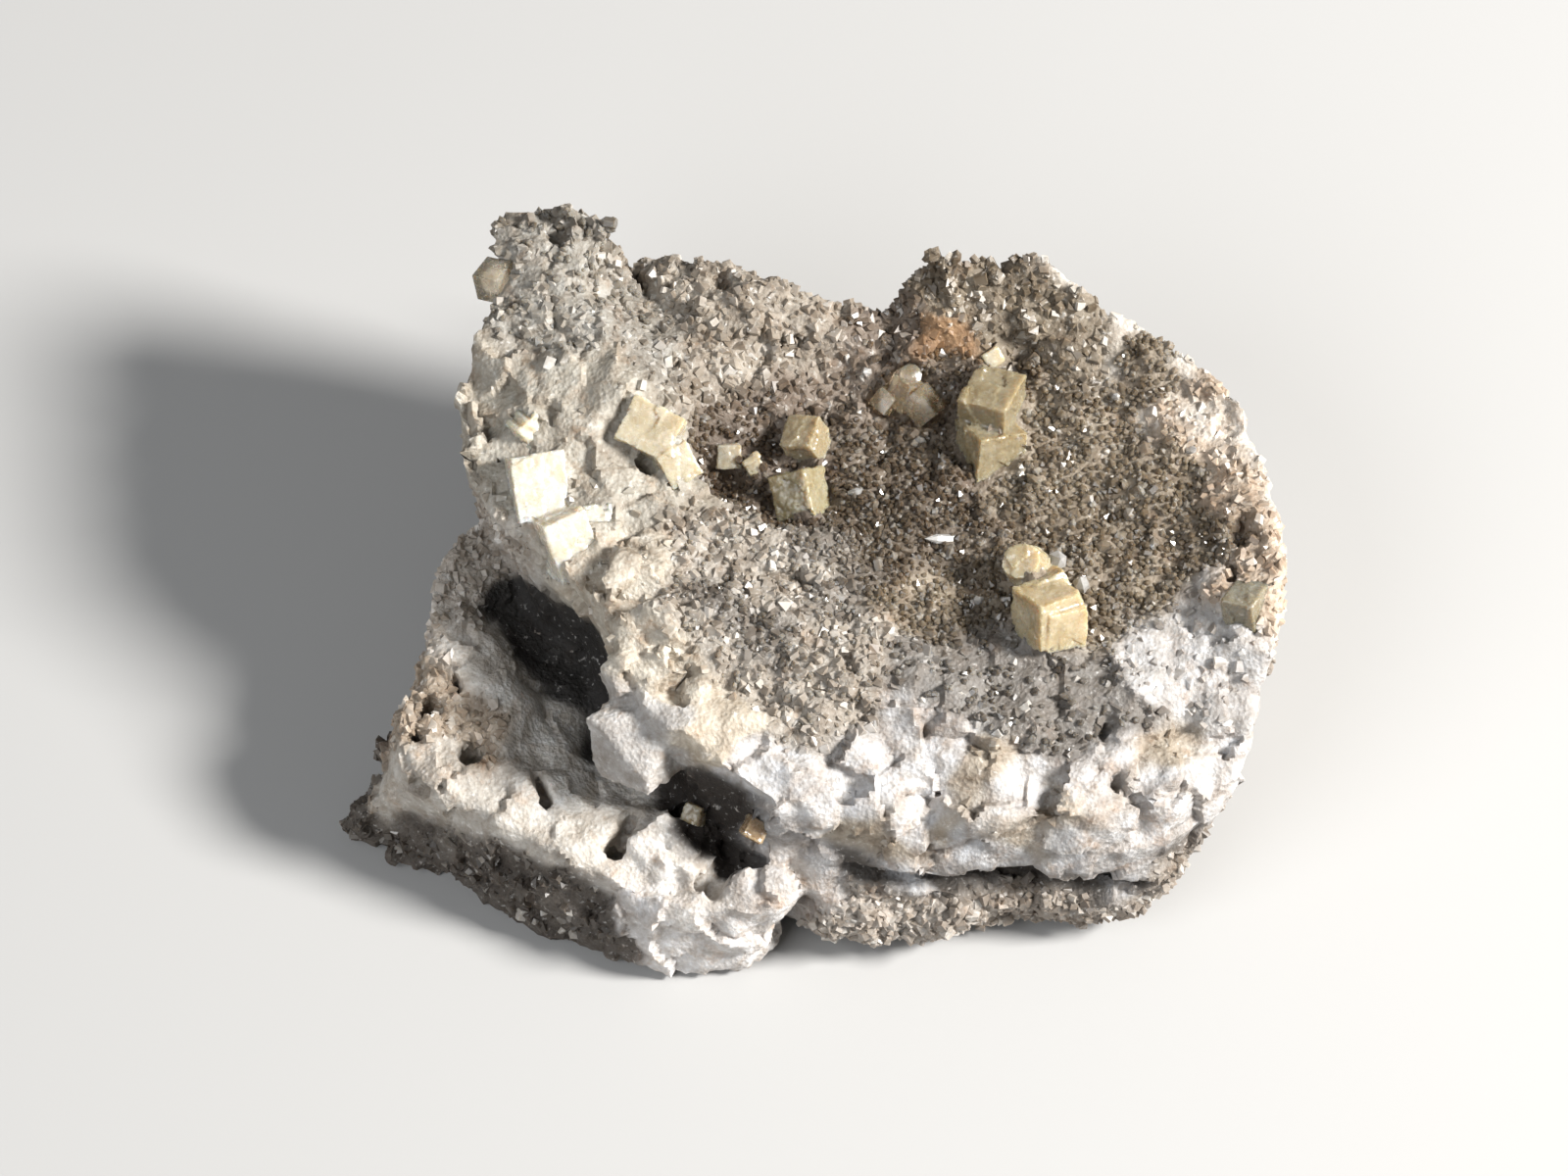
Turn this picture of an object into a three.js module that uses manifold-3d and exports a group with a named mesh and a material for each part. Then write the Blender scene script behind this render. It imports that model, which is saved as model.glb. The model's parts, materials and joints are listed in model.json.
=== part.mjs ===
// A woodhouseite specimen: honey-coloured, nearly cubic crystals on a broken plate of drusy quartz.
// Millimetres, +Z up. The specimen lies on its flat underside, with its front towards -Y.
import * as THREE from "three";
import { ConvexGeometry } from "three/addons/geometries/ConvexGeometry.js";
import { ImprovedNoise } from "three/addons/math/ImprovedNoise.js";
import { mergeVertices } from "three/addons/utils/BufferGeometryUtils.js";
import Module from "manifold-3d";

const wasm = await Module();
wasm.setup();

// Driving dimensions
const SOCKET_GAP = 0.3; // between a crystal and the rock that it is seated in
const LANDMARK_BLUR = 1.6; // how widely one landmark's height is felt
const COARSE_NOISE = { size: 5.5, height: 0.75 };
const FINE_NOISE = { size: 2.1, height: 0.42 };
const WALL_NOISE = { size: 4.6, height: 1.25 };

// The upper plate. Its rim is where the top face turns down, its foot is where the wall meets the underside.
const PLATE = {
  centre: [3, 1],
  detail: 13,
  topFrom: -0.1,
  undersideTo: -0.72,
  rim: [
    [34.6, -0.4], [33.9, 4.1], [32.5, 8.4], [31.5, 11.3], [28.0, 14.5], [24.8, 16.4], [20.9, 18.4],
    [18.7, 20.1], [16.9, 20.4], [12.6, 20.7], [9.7, 21.1], [8.4, 21.0], [7.2, 19.8], [5.8, 18.8],
    [0.4, 20.0], [-4.7, 21.7], [-9.0, 23.4], [-11.2, 24.5], [-12.7, 24.8], [-14.0, 24.4],
    [-15.4, 25.6], [-19.1, 26.2], [-22.3, 26.4], [-22.6, 24.0], [-21.8, 20.6], [-23.4, 17.4],
    [-24.4, 14.6], [-25.6, 9.8], [-25.0, 5.5], [-22.4, 0.9], [-19.2, -2.0], [-16.2, -4.8], [-14.3, -8.0],
    [-13.2, -11.6], [-11.5, -14.6], [-9.2, -17.0], [-2.5, -21.2], [1.8, -21.0], [9.0, -21.1],
    [16.2, -21.7], [22.0, -21.9], [27.0, -20.5], [29.9, -18.7], [31.5, -16.4], [32.4, -13.4],
    [32.6, -10.4], [34.4, -7.8], [35.0, -5.7],
  ],
  foot: [
    [31.5, 0.0], [30.5, 7.0], [26.0, 12.5], [20.0, 15.5], [12.0, 17.0], [5.0, 16.2], [0.0, 17.0],
    [-8.0, 19.5], [-16.0, 21.5], [-21.0, 20.5], [-22.0, 12.0], [-20.0, 3.0], [-14.0, -6.0],
    [-8.0, -14.0], [-2.0, -21.0], [-0.7, -22.7], [1.8, -24.1], [5.4, -24.8], [10.0, -24.3],
    [11.8, -22.9], [14.8, -22.3], [19.0, -22.8], [22.3, -23.0], [24.6, -22.4], [27.0, -19.5],
    [29.5, -14.0], [31.0, -8.0],
  ],
  footHeight: 2.0,
  rests: { centre: [3, -2], radii: [22, 15] },
  landmarks: {
    crest: [
      [9.7, 20.9, 26.0], [16.9, 20.2, 26.0], [20.5, 18.1, 24.3], [12.6, 18.4, 24.2], [16.9, 17.4, 22.8],
      [12.6, 16.4, 20.8], [9.0, 17.5, 22.4], [24.8, 16.2, 22.6], [21.5, 15.6, 21.6],
    ],
    notch: [[5.8, 18.7, 20.2], [6.2, 16.4, 19.4], [7.4, 19.4, 22.4]],
    floor: [
      [9.0, 14.2, 18.8], [15.5, 14.0, 19.2], [22.0, 13.2, 19.8], [27.0, 11.8, 20.0], [29.2, 8.8, 19.8],
      [23.4, 8.8, 18.8], [17.0, 9.0, 18.3], [11.0, 9.6, 18.0], [5.4, 9.4, 17.8], [12.6, 5.1, 17.8],
      [5.4, 1.7, 17.9], [19.8, 3.2, 18.0], [27.0, 4.5, 18.7], [27.0, -2.5, 18.2], [19.8, -3.4, 17.8],
      [12.6, -3.4, 17.7], [7.6, -4.6, 18.3],
    ],
    rightRim: [
      [32.2, 7.0, 20.6], [32.6, 1.9, 21.0], [33.6, -3.6, 20.6], [31.0, -5.6, 19.6], [28.5, 14.0, 21.6],
      [31.0, 11.0, 21.2],
    ],
    basin: [[-5.4, 8.6, 16.4], [-7.0, 6.4, 15.8], [-1.8, 4.4, 16.8], [2.5, 13.2, 18.0], [-2.0, 9.6, 17.0]],
    backStrip: [
      [-9.0, 21.0, 22.6], [-4.7, 19.3, 22.6], [0.4, 17.9, 21.8], [4.0, 16.8, 20.4], [-6.1, 15.4, 22.0],
      [-3.2, 12.4, 19.8], [-7.0, 11.4, 21.0],
    ],
    leftMass: [
      [-19.1, 24.6, 24.2], [-16.2, 22.3, 24.4], [-22.0, 23.4, 23.0], [-16.2, 15.8, 23.8],
      [-22.0, 15.9, 22.4], [-23.4, 9.7, 21.4], [-19.1, 8.8, 22.8], [-13.3, 9.9, 23.8], [-9.6, 9.0, 22.4],
      [-13.3, 4.0, 22.3], [-9.4, 3.4, 21.4], [-20.5, 3.4, 20.6],
    ],
    topGap: [[-12.4, 24.2, 18.6], [-11.9, 21.4, 19.4]],
    granularShoulder: [
      [-11.9, -2.1, 21.2], [-4.7, -1.5, 20.4], [0.4, -2.1, 19.8], [-9.0, -6.9, 20.6], [-1.8, -8.0, 19.8],
      [4.0, -9.4, 19.4], [-13.0, -8.3, 19.9], [-10.4, -12.5, 18.8],
    ],
    frontApron: [
      [-4.7, -14.2, 18.8], [1.8, -13.9, 18.4], [9.0, -12.2, 18.4], [16.2, -13.5, 17.8],
      [23.4, -11.8, 17.6], [27.7, -8.1, 17.0], [30.4, -12.0, 15.9], [27.4, -15.6, 15.2],
      [19.8, -17.4, 16.2], [12.6, -17.6, 16.8], [5.4, -17.2, 16.8], [-1.8, -18.0, 16.4],
    ],
    frontLip: [
      [1.8, -21.0, 12.8], [9.0, -21.1, 12.6], [16.2, -21.7, 12.2], [24.0, -21.6, 11.4], [29.9, -18.7, 11.8],
    ],
  },
};

// The lower shelf at the left, with the foot that spreads under it.
const SHELF = {
  centre: [-16, -10],
  detail: 7,
  topFrom: -0.05,
  undersideTo: -0.7,
  rim: [
    [-2.0, -20.0], [-2.0, -12.0], [-6.0, -2.0], [-12.0, 4.0], [-20.0, 6.4], [-25.6, 5.2], [-27.2, 0.4],
    [-27.5, -4.7], [-28.4, -8.3], [-29.4, -10.7], [-29.2, -13.2], [-28.2, -15.1], [-25.0, -17.0],
    [-23.0, -17.9], [-20.0, -19.5], [-16.2, -21.5], [-13.3, -23.0], [-10.0, -24.4], [-6.5, -25.0],
    [-3.6, -25.0], [-1.8, -24.6],
  ],
  foot: [
    [-4.0, -20.0], [-4.0, -10.0], [-10.0, 0.0], [-16.0, 4.0], [-22.0, 4.6], [-26.4, 2.0], [-28.0, -3.0],
    [-30.0, -8.0], [-32.6, -11.6], [-34.9, -13.7], [-33.6, -15.0], [-30.0, -16.2], [-26.5, -17.4],
    [-23.6, -19.4], [-20.5, -21.8], [-16.2, -24.2], [-12.6, -25.3], [-8.1, -26.1], [-4.7, -25.8],
    [-1.9, -24.8], [-1.2, -23.0],
  ],
  footHeight: 0.6,
  rests: { centre: [-15, -12], radii: [14, 9] },
  landmarks: {
    trough: [[-18.0, -5.0, 7.6], [-15.4, -9.6, 6.8], [-21.0, -1.6, 8.6], [-13.6, -14.0, 7.2]],
    inner: [[-8.0, -6.0, 8.0], [-8.0, -14.0, 8.0], [-13.0, 0.0, 9.0]],
    leftRim: [
      [-25.6, 3.2, 13.0], [-26.6, -1.0, 12.6], [-26.8, -5.4, 12.2], [-28.4, -9.6, 11.4],
      [-28.2, -13.6, 10.8],
    ],
    face: [
      [-23.4, -4.7, 11.8], [-22.4, -9.4, 11.0], [-18.4, -11.6, 9.4], [-24.0, -14.4, 10.8],
      [-19.6, -16.4, 10.6], [-15.6, -18.6, 10.0], [-13.2, -18.4, 9.6],
    ],
    lip: [
      [-24.6, -17.0, 10.0], [-19.6, -19.4, 9.4], [-15.6, -21.4, 8.8], [-11.6, -23.4, 7.6], [-6.5, -24.6, 8.6],
    ],
    frontLump: [[-3.4, -23.6, 8.8], [-2.6, -21.4, 10.0]],
  },
};

// Straight-walled casts and other cuts, each a plan outline cut down from above to its floor.
const CASTS = {
  front: { floor: 6.0, plan: [[-9.4, -15.8], [-2.4, -20.4], [-6.6, -24.2], [-12.2, -18.8]] },
  slit: { floor: 5.2, plan: [[-12.9, -16.8], [-11.9, -17.2], [-13.4, -20.8], [-14.9, -20.3]] },
};
const CREVICE = {
  centre: [15.0, -21.9, 7.4],
  size: [17, 5.2, 1.9],
  turn: [-8, 7, 1],
};
const TOP_NOTCH = { centre: [-12.6, 25.6, 22.0], size: [1.9, 5.5, 8], turn: [11, -10, -20] };

// Flat fracture faces of the plate: a place that each passes through and the way it faces.
const FRACTURES = {
  backRight: { through: [21.0, 15.6, 9.0], facing: [0.5, 0.82, -0.22] },
  backMiddle: { through: [8.0, 19.0, 9.0], facing: [0.16, 0.94, -0.3] },
  backLeft: { through: [-10.0, 21.6, 8.0], facing: [0.2, 0.94, -0.34] },
  rightLower: { through: [32.2, 3.0, 6.0], facing: [0.9, 0.16, -0.38] },
  rightFront: { through: [30.6, -14.4, 7.0], facing: [0.82, -0.5, -0.3] },
  frontLow: { through: [20.0, -23.0, 3.0], facing: [0.28, -0.9, -0.34] },
  leftBack: { through: [-23.9, 13.0, 9.0], facing: [-0.93, 0.24, -0.3] },
  leftHead: { through: [-22.0, 23.4, 8.0], facing: [-0.55, 0.78, -0.3] },
};

// Blocky quartz that stands on the rock and is one with it: centre, edges, turns in degrees.
const QUARTZ_BLOCKS = [
  { at: [-12.0, -14.5, 15.0], size: [5.2, 5.2, 5.2], turn: [74, -39, 10], cut: 4.4 }, // wedge over the cast
  { at: [-6.9, -15.2, 16.4], size: [3.4, 3.0, 3.4], turn: [-146, -30, -12] }, // its pale neighbour
  { at: [-9.6, -14.0, 17.0], size: [3.0, 2.8, 2.6], turn: [-140, 20, 30] },
  { at: [-13.2, -11.0, 17.8], size: [2.6, 2.4, 2.6], turn: [22, 12, 30] }, // small block over the trough
  { at: [-9.6, -19.6, 5.8], size: [5.0, 5.2, 5.4], turn: [-137, -40, -24] }, // bright block in the front cast
  { at: [-12.6, -4.2, 19.7], size: [4.4, 4.2, 3.2], turn: [-150, -12, 24] },
  { at: [-11.2, -8.2, 19.1], size: [4.4, 4.0, 3.4], turn: [-144, 18, -16] },
  { at: [-14.6, -1.6, 19.0], size: [3.2, 3.0, 3.4], turn: [-152, -30, 10] },
  { at: [-17.2, 8.0, 21.3], size: [3.0, 2.8, 3.0], turn: [-150, 16, 38] },
  { at: [-20.6, 23.6, 22.3], size: [3.6, 3.2, 3.0], turn: [10, -16, 14] },
  { at: [-16.6, 23.4, 23.0], size: [3.8, 3.4, 3.2], turn: [8, 12, -22] },
];

// Rounded, many-faced quartz lumps, one with the rock too: centre, radii, turn about +Z in degrees.
const QUARTZ_LUMPS = [
  { at: [-3.4, -22.8, 6.6], radii: [3.2, 2.2, 3.0], turn: 18 },
  { at: [-6.0, -24.2, 5.0], radii: [2.6, 1.8, 2.8], turn: -20 },
  { at: [-0.2, -17.8, 14.2], radii: [4.0, 3.4, 2.6], turn: -18 },
  { at: [5.6, -19.0, 12.8], radii: [4.4, 2.6, 3.2], turn: 8 },
  { at: [13.4, -18.6, 13.4], radii: [5.0, 3.0, 2.6], turn: -6 },
  { at: [20.4, -19.4, 11.8], radii: [4.2, 2.6, 3.6], turn: 12 },
  { at: [26.2, -17.4, 12.0], radii: [3.8, 3.0, 3.2], turn: 38 },
  { at: [29.8, -11.6, 13.8], radii: [3.0, 3.8, 2.6], turn: -14 },
  { at: [3.6, -22.8, 4.4], radii: [3.4, 2.0, 2.2], turn: 6 },
  { at: [10.0, -22.6, 4.0], radii: [3.0, 1.9, 2.0], turn: -8 },
  { at: [30.8, -4.6, 18.0], radii: [2.4, 3.0, 2.0], turn: 40 },
  { at: [8.2, 15.6, 19.9], radii: [1.7, 1.5, 1.6], turn: 24 }, // ochre lump under the notch
];

// The woodhouseite. Each entry is one node; its members grew into each other.
// A member is a nearly cubic block with two opposite corners cut by the basal faces, or a rounded tablet.
const HONEY = { color: 0xc9a66b, roughness: 0.42 };
const PALE = { color: 0xd9cdb0, roughness: 0.4 };
const CLEAR = { color: 0xd8d2c6, roughness: 0.22 };
const CRYSTALS = {
  crystal_clump_upper: {
    finish: HONEY,
    at: [14.0, 9.8, 19.2],
    members: [
      { at: [-0.5, 1.1, 0.7], size: [3.7, 4.3, 3.6], turn: [165, 0, -159], cut: 0.35 },
      { at: [-0.6, -1.3, -0.9], size: [4.0, 3.6, 3.8], turn: [66, 28, -7], cut: 0.4 },
      { at: [-1.6, -0.6, -0.6], size: [2.4, 2.4, 2.6], turn: [50, 16, 10], cut: 0.3 },
    ],
  },
  crystal_clump_lower: {
    finish: HONEY,
    at: [17.6, -6.2, 19.2],
    members: [
      { at: [-0.2, -0.5, 0.4], size: [3.8, 3.9, 3.7], turn: [62, 35, 0], cut: 0.7 },
      { at: [0.5, -0.9, 0.0], size: [3.2, 3.3, 3.4], turn: [64, 28, -3], cut: 0.3 },
      { at: [-0.1, 1.5, -0.6], size: [3.2, 3.4, 3.2], turn: [40, 20, 24], cut: 0.4 },
      { at: [-1.8, 3.7, 0.3], size: [3.6, 3.1, 2.6], turn: [20, -14, 20], tablet: true },
    ],
  },
  crystal_middle_upper: {
    finish: HONEY,
    at: [0.0, 8.9, 18.3],
    members: [{ size: [2.7, 2.8, 2.7], turn: [175, 23, -162], cut: 0.3 }],
  },
  crystal_middle_lower: {
    finish: HONEY,
    at: [-0.4, 4.5, 17.9],
    members: [{ size: [3.5, 3.1, 3.3], turn: [-142, 27, 76], cut: 0.25 }],
  },
  crystal_cube_left: {
    finish: PALE,
    at: [-5.7, 8.2, 17.3],
    members: [{ size: [1.9, 1.8, 1.9], turn: [-143, -7, 0], cut: 0.15 }],
  },
  crystal_cube_right: {
    finish: PALE,
    at: [-3.8, 7.4, 17.3],
    members: [{ size: [1.4, 1.4, 1.5], turn: [30, 4, 34], cut: 0.12 }],
  },
  crystal_trio_clear: {
    finish: CLEAR,
    at: [7.4, 12.0, 19.0],
    members: [
      { at: [-0.2, 0.4, 0.2], size: [2.3, 1.8, 1.8], turn: [-141, 39, 117], cut: 0.25 },
      { at: [1.1, -0.5, 0.0], size: [1.9, 2.3, 2.1], turn: [-129, 22, 137], cut: 0.3 },
      { at: [0.0, 1.6, 0.5], size: [2.0, 1.9, 1.8], turn: [20, 14, 30], tablet: true },
      { at: [-1.6, 0.1, -0.4], size: [1.5, 1.5, 1.6], turn: [-150, 20, 40], cut: 0.2 },
    ],
  },
  crystal_chip_upper: {
    finish: PALE,
    at: [13.5, 14.8, 20.3],
    members: [{ size: [1.4, 1.3, 1.4], turn: [40, 14, 30], cut: 0.15 }],
  },
  crystal_block_edge: {
    finish: PALE,
    at: [-18.4, 1.6, 20.0],
    members: [
      { at: [-1.2, 2.0, 0.2], size: [4.0, 4.9, 4.8], turn: [-150, -11, -8], cut: 0.3 },
      { at: [0.9, -2.2, -0.4], size: [3.4, 4.7, 4.2], turn: [-135, -20, -19], cut: 0.3 },
      { at: [3.0, -1.0, -0.2], size: [2.6, 2.9, 3.0], turn: [-149, -7, -7], cut: 0.25 },
    ],
  },
  crystal_slab_ledge: {
    finish: PALE,
    at: [-10.6, 6.4, 21.8],
    members: [
      { at: [-0.7, 0.9, 0.1], size: [4.2, 3.6, 3.8], turn: [-158, 0, -154], cut: 0.4 },
      { at: [1.1, -1.3, -0.6], size: [2.6, 2.8, 2.8], turn: [-140, -16, -29], cut: 0.3 },
    ],
  },
  crystal_striped: {
    finish: PALE,
    at: [-20.3, 7.6, 21.8],
    members: [{ size: [2.1, 1.9, 2.1], turn: [159, 25, -131], cut: 0.25 }],
  },
  crystal_knob_left: {
    finish: CLEAR,
    at: [-22.7, 20.5, 21.8],
    members: [{ size: [2.1, 2.3, 2.3], turn: [162, 10, -151], cut: 0.25 }],
  },
  crystal_cast_first: {
    finish: PALE,
    at: [-8.1, -17.8, 10.0],
    members: [{ size: [1.4, 1.4, 1.5], turn: [-150, 20, 20], cut: 0.15 }],
  },
  crystal_cast_second: {
    finish: PALE,
    at: [-3.7, -20.4, 12.2],
    members: [{ size: [1.7, 1.6, 1.8], turn: [-144, -12, 30], cut: 0.2 }],
  },
  crystal_rim_right: {
    finish: PALE,
    at: [31.8, -5.9, 19.3],
    members: [{ size: [2.6, 3.0, 2.8], turn: [161, 7, -153], cut: 0.4 }],
  },
};

const perlin = new ImprovedNoise();

// Rough, creased noise, about -1 to 1, at a place on the rock.
function crag(point, size) {
  const [x, y, z] = point.toArray().map((value) => value / size);
  const broad = perlin.noise(x + 3.1, y + 7.7, z + 1.3);
  const crease = 1 - 2 * Math.abs(perlin.noise(2 * x + 11.2, 2 * y, 2 * z + 5.9));
  return 1.1 * broad + 0.45 * (crease - 0.55);
}

// How far an outline lies from a centre in the direction of an angle.
function reach(outline, centre, angle) {
  const ray = new THREE.Vector2(Math.cos(angle), Math.sin(angle));
  let farthest = 0;
  outline.forEach((corner, i) => {
    const start = new THREE.Vector2(corner[0] - centre[0], corner[1] - centre[1]);
    const next = outline[(i + 1) % outline.length];
    const along = new THREE.Vector2(next[0] - corner[0], next[1] - corner[1]);
    const across = ray.cross(along);
    const distance = start.cross(along) / across;
    const share = start.cross(ray) / across;
    if (distance > 0 && share >= 0 && share <= 1) farthest = Math.max(farthest, distance);
  });
  return farthest;
}

// The height of a top face: a blend of the landmarks round a place, the nearest counting most.
function landmarkHeight(landmarks, x, y) {
  let weights = 0;
  let heights = 0;
  for (const [atX, atY, height] of landmarks) {
    const weight = ((x - atX) ** 2 + (y - atY) ** 2 + LANDMARK_BLUR ** 2) ** -2;
    weights += weight;
    heights += weight * height;
  }
  return heights / weights;
}

// A slab of rock, shaped from a finely divided sphere: the upper part of the sphere becomes the top face,
// a band round it becomes the broken wall, and the rest becomes the underside, which is flat where it rests.
function slabGeometry(slab) {
  const landmarks = Object.values(slab.landmarks).flat();
  const sphere = new THREE.IcosahedronGeometry(1, slab.detail);
  const places = sphere.getAttribute("position");
  const point = new THREE.Vector3();
  for (let i = 0; i < places.count; i++) {
    point.fromBufferAttribute(places, i).normalize();
    point.copy(placeOnSlab(slab, landmarks, point));
    places.setXYZ(i, point.x, point.y, point.z);
  }
  return sphere;
}

function placeOnSlab(slab, landmarks, direction) {
  const angle = Math.atan2(direction.y, direction.x);
  const rim = reach(slab.rim, slab.centre, angle);
  const foot = reach(slab.foot, slab.centre, angle);
  const at = (radius) => [
    slab.centre[0] + radius * Math.cos(angle),
    slab.centre[1] + radius * Math.sin(angle),
  ];
  if (direction.z >= slab.topFrom) {
    const share = Math.sqrt((1 - direction.z) / (1 - slab.topFrom));
    const [x, y] = at(rim * share);
    const place = new THREE.Vector3(x, y, landmarkHeight(landmarks, x, y));
    const fade = THREE.MathUtils.smoothstep(1 - share, 0, 0.03);
    place.z += COARSE_NOISE.height * crag(place, COARSE_NOISE.size);
    place.z += fade * FINE_NOISE.height * crag(place, FINE_NOISE.size);
    return place;
  }
  if (direction.z <= slab.undersideTo) {
    const share = Math.sqrt((1 + direction.z) / (1 + slab.undersideTo));
    const [x, y] = at(foot * share);
    return new THREE.Vector3(x, y, undersideHeight(slab, x, y));
  }
  const climb = (direction.z - slab.undersideTo) / (slab.topFrom - slab.undersideTo);
  const [rimX, rimY] = at(rim);
  const [footX, footY] = at(foot);
  const rimPlace = new THREE.Vector3(rimX, rimY, landmarkHeight(landmarks, rimX, rimY));
  rimPlace.z += COARSE_NOISE.height * crag(rimPlace, COARSE_NOISE.size);
  const footPlace = new THREE.Vector3(footX, footY, undersideHeight(slab, footX, footY));
  const place = footPlace.lerp(rimPlace, climb);
  const outward = WALL_NOISE.height * crag(place, WALL_NOISE.size) * Math.sin(Math.PI * climb);
  place.x += outward * Math.cos(angle);
  place.y += outward * Math.sin(angle);
  return place;
}

// Zero over the ellipse that the slab rests on, rising beyond it to the foot's height.
function undersideHeight(slab, x, y) {
  const { centre, radii } = slab.rests;
  const out = Math.hypot((x - centre[0]) / radii[0], (y - centre[1]) / radii[1]);
  return slab.footHeight * THREE.MathUtils.smoothstep(out, 1, 1.5);
}

// A nearly cubic crystal: its front corner and the one behind are cut off by the flat basal faces.
// Grown, every face lies that much further out.
function crystalGeometry({ at = [0, 0, 0], size, turn, cut, tablet = false }, grown = 0) {
  const half = size.map((edge) => edge / 2 + grown);
  if (tablet) return tabletGeometry(half).applyMatrix4(placement(at, turn));
  const inset = cut + 1.27 * grown; // a corner moves out faster than the face that cuts it
  const corners = [];
  for (const x of [-1, 1]) {
    for (const y of [-1, 1]) {
      for (const z of [-1, 1]) {
        const corner = new THREE.Vector3(x * half[0], y * half[1], z * half[2]);
        if (x === y && y === z) {
          corners.push(corner.clone().setX(corner.x - x * inset));
          corners.push(corner.clone().setY(corner.y - y * inset));
          corners.push(corner.clone().setZ(corner.z - z * inset));
        } else corners.push(corner);
      }
    }
  }
  return new ConvexGeometry(corners).applyMatrix4(placement(at, turn));
}

// A flat crystal with a rounded outline, a little narrower at its face than at its foot.
function tabletGeometry(half) {
  return new THREE.CylinderGeometry(0.84, 1, 2, 11).rotateX(Math.PI / 2).scale(...half);
}

// The matrix that turns a thing by degrees about X, Y and Z and then moves it to its place.
function placement(at, turn) {
  const placed = new THREE.Object3D();
  placed.position.fromArray(at);
  placed.rotation.set(...turn.map(THREE.MathUtils.degToRad));
  placed.updateMatrix();
  return placed.matrix;
}

// The cut that a plan outline makes from a floor up through everything over it.
function castGeometry({ floor, plan }) {
  const outline = new THREE.Shape(plan.map(([x, y]) => new THREE.Vector2(x, y)));
  return new THREE.ExtrudeGeometry(outline, { depth: 30, bevelEnabled: false }).translate(0, 0, floor);
}

// A long diamond, whose upper or lower half cuts a crevice.
function wedgeGeometry({ centre, size, turn }) {
  return new THREE.OctahedronGeometry(1, 0).scale(...size).applyMatrix4(placement(centre, turn));
}

// Everything beyond a fracture face.
function fractureGeometry({ through, facing }) {
  const beyond = new THREE.Object3D();
  beyond.position.fromArray(through);
  beyond.lookAt(beyond.position.clone().add(new THREE.Vector3(...facing)));
  beyond.updateMatrix();
  const [across, deep] = [90, 40];
  return new THREE.BoxGeometry(across, across, deep).translate(0, 0, deep / 2).applyMatrix4(beyond.matrix);
}

// A lump with flat facets: a coarse ball, squashed and unevenly pushed in.
function lumpGeometry({ at, radii, turn }) {
  const ball = new THREE.IcosahedronGeometry(1, 1);
  const places = ball.getAttribute("position");
  const corner = new THREE.Vector3();
  const corners = [];
  for (let i = 0; i < places.count; i++) {
    corner.fromBufferAttribute(places, i);
    const seed = corner.clone().add(new THREE.Vector3(...at));
    const push = 0.22 * perlin.noise(1.7 * seed.x, 1.7 * seed.y, 1.7 * seed.z);
    corners.push(corner.clone().multiplyScalar(1 + push));
  }
  return new ConvexGeometry(corners).scale(...radii).applyMatrix4(placement(at, [0, 0, turn]));
}

function solidOf(geometry) {
  const bare = geometry.clone();
  bare.deleteAttribute("normal");
  bare.deleteAttribute("uv");
  const merged = mergeVertices(bare, 1e-5);
  return new wasm.Manifold(
    new wasm.Mesh({
      numProp: 3,
      vertProperties: merged.getAttribute("position").array,
      triVerts: Uint32Array.from(merged.getIndex().array),
    }),
  );
}

function geometryOf(solid) {
  const { vertProperties, triVerts } = solid.getMesh();
  const geometry = new THREE.BufferGeometry();
  geometry.setAttribute("position", new THREE.BufferAttribute(vertProperties, 3));
  geometry.setIndex(new THREE.BufferAttribute(triVerts, 1));
  geometry.computeVertexNormals();
  return geometry;
}

// A crystal group as one solid, in its own frame or at its place on the rock.
function groupSolid(group, grown, place = [0, 0, 0]) {
  const members = group.members.map((member) => crystalGeometry(member, grown).translate(...place));
  return members.map(solidOf).reduce((whole, next) => whole.add(next));
}

function quartzMatrix() {
  let rock = solidOf(slabGeometry(PLATE));
  for (const face of Object.values(FRACTURES)) rock = rock.subtract(solidOf(fractureGeometry(face)));
  rock = rock.add(solidOf(slabGeometry(SHELF)));
  for (const cast of Object.values(CASTS)) rock = rock.subtract(solidOf(castGeometry(cast)));
  for (const wedge of [CREVICE, TOP_NOTCH]) rock = rock.subtract(solidOf(wedgeGeometry(wedge)));
  for (const block of QUARTZ_BLOCKS) rock = rock.add(solidOf(crystalGeometry({ cut: 0.5, ...block })));
  for (const lump of QUARTZ_LUMPS) rock = rock.add(solidOf(lumpGeometry(lump)));
  for (const group of Object.values(CRYSTALS)) {
    rock = rock.subtract(groupSolid(group, SOCKET_GAP, group.at));
  }
  const quartz = new THREE.MeshStandardMaterial({ color: 0xb8aea0, roughness: 0.55, metalness: 0 });
  const mesh = new THREE.Mesh(geometryOf(rock), quartz);
  mesh.name = "quartz_matrix";
  return mesh;
}

function crystalMesh(name, group) {
  const finish = new THREE.MeshStandardMaterial({ ...group.finish, metalness: 0 });
  const mesh = new THREE.Mesh(geometryOf(groupSolid(group, 0)), finish);
  mesh.name = name;
  mesh.position.fromArray(group.at);
  return mesh;
}

const specimen = new THREE.Group();
specimen.name = "woodhouseite_specimen";
specimen.add(quartzMatrix());
for (const [name, group] of Object.entries(CRYSTALS)) specimen.add(crystalMesh(name, group));

// The origin is under the middle of the specimen, on the plane that it rests on.
const bounds = new THREE.Box3().setFromObject(specimen, true);
const middle = bounds.getCenter(new THREE.Vector3());
specimen.position.set(-middle.x, -middle.y, -bounds.min.z);

export default specimen;
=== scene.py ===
"""The looks of a woodhouseite specimen: honey-coloured crystals on a broken plate of drusy quartz.

The rock is rebuilt from its solid as a fine mesh and broken up into facets. Quartz points and grains are
scattered over it by zone, and the woodhouseite crystals get worn edges and a waxy finish.
"""

import json
import math
import random
from typing import NamedTuple

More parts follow.
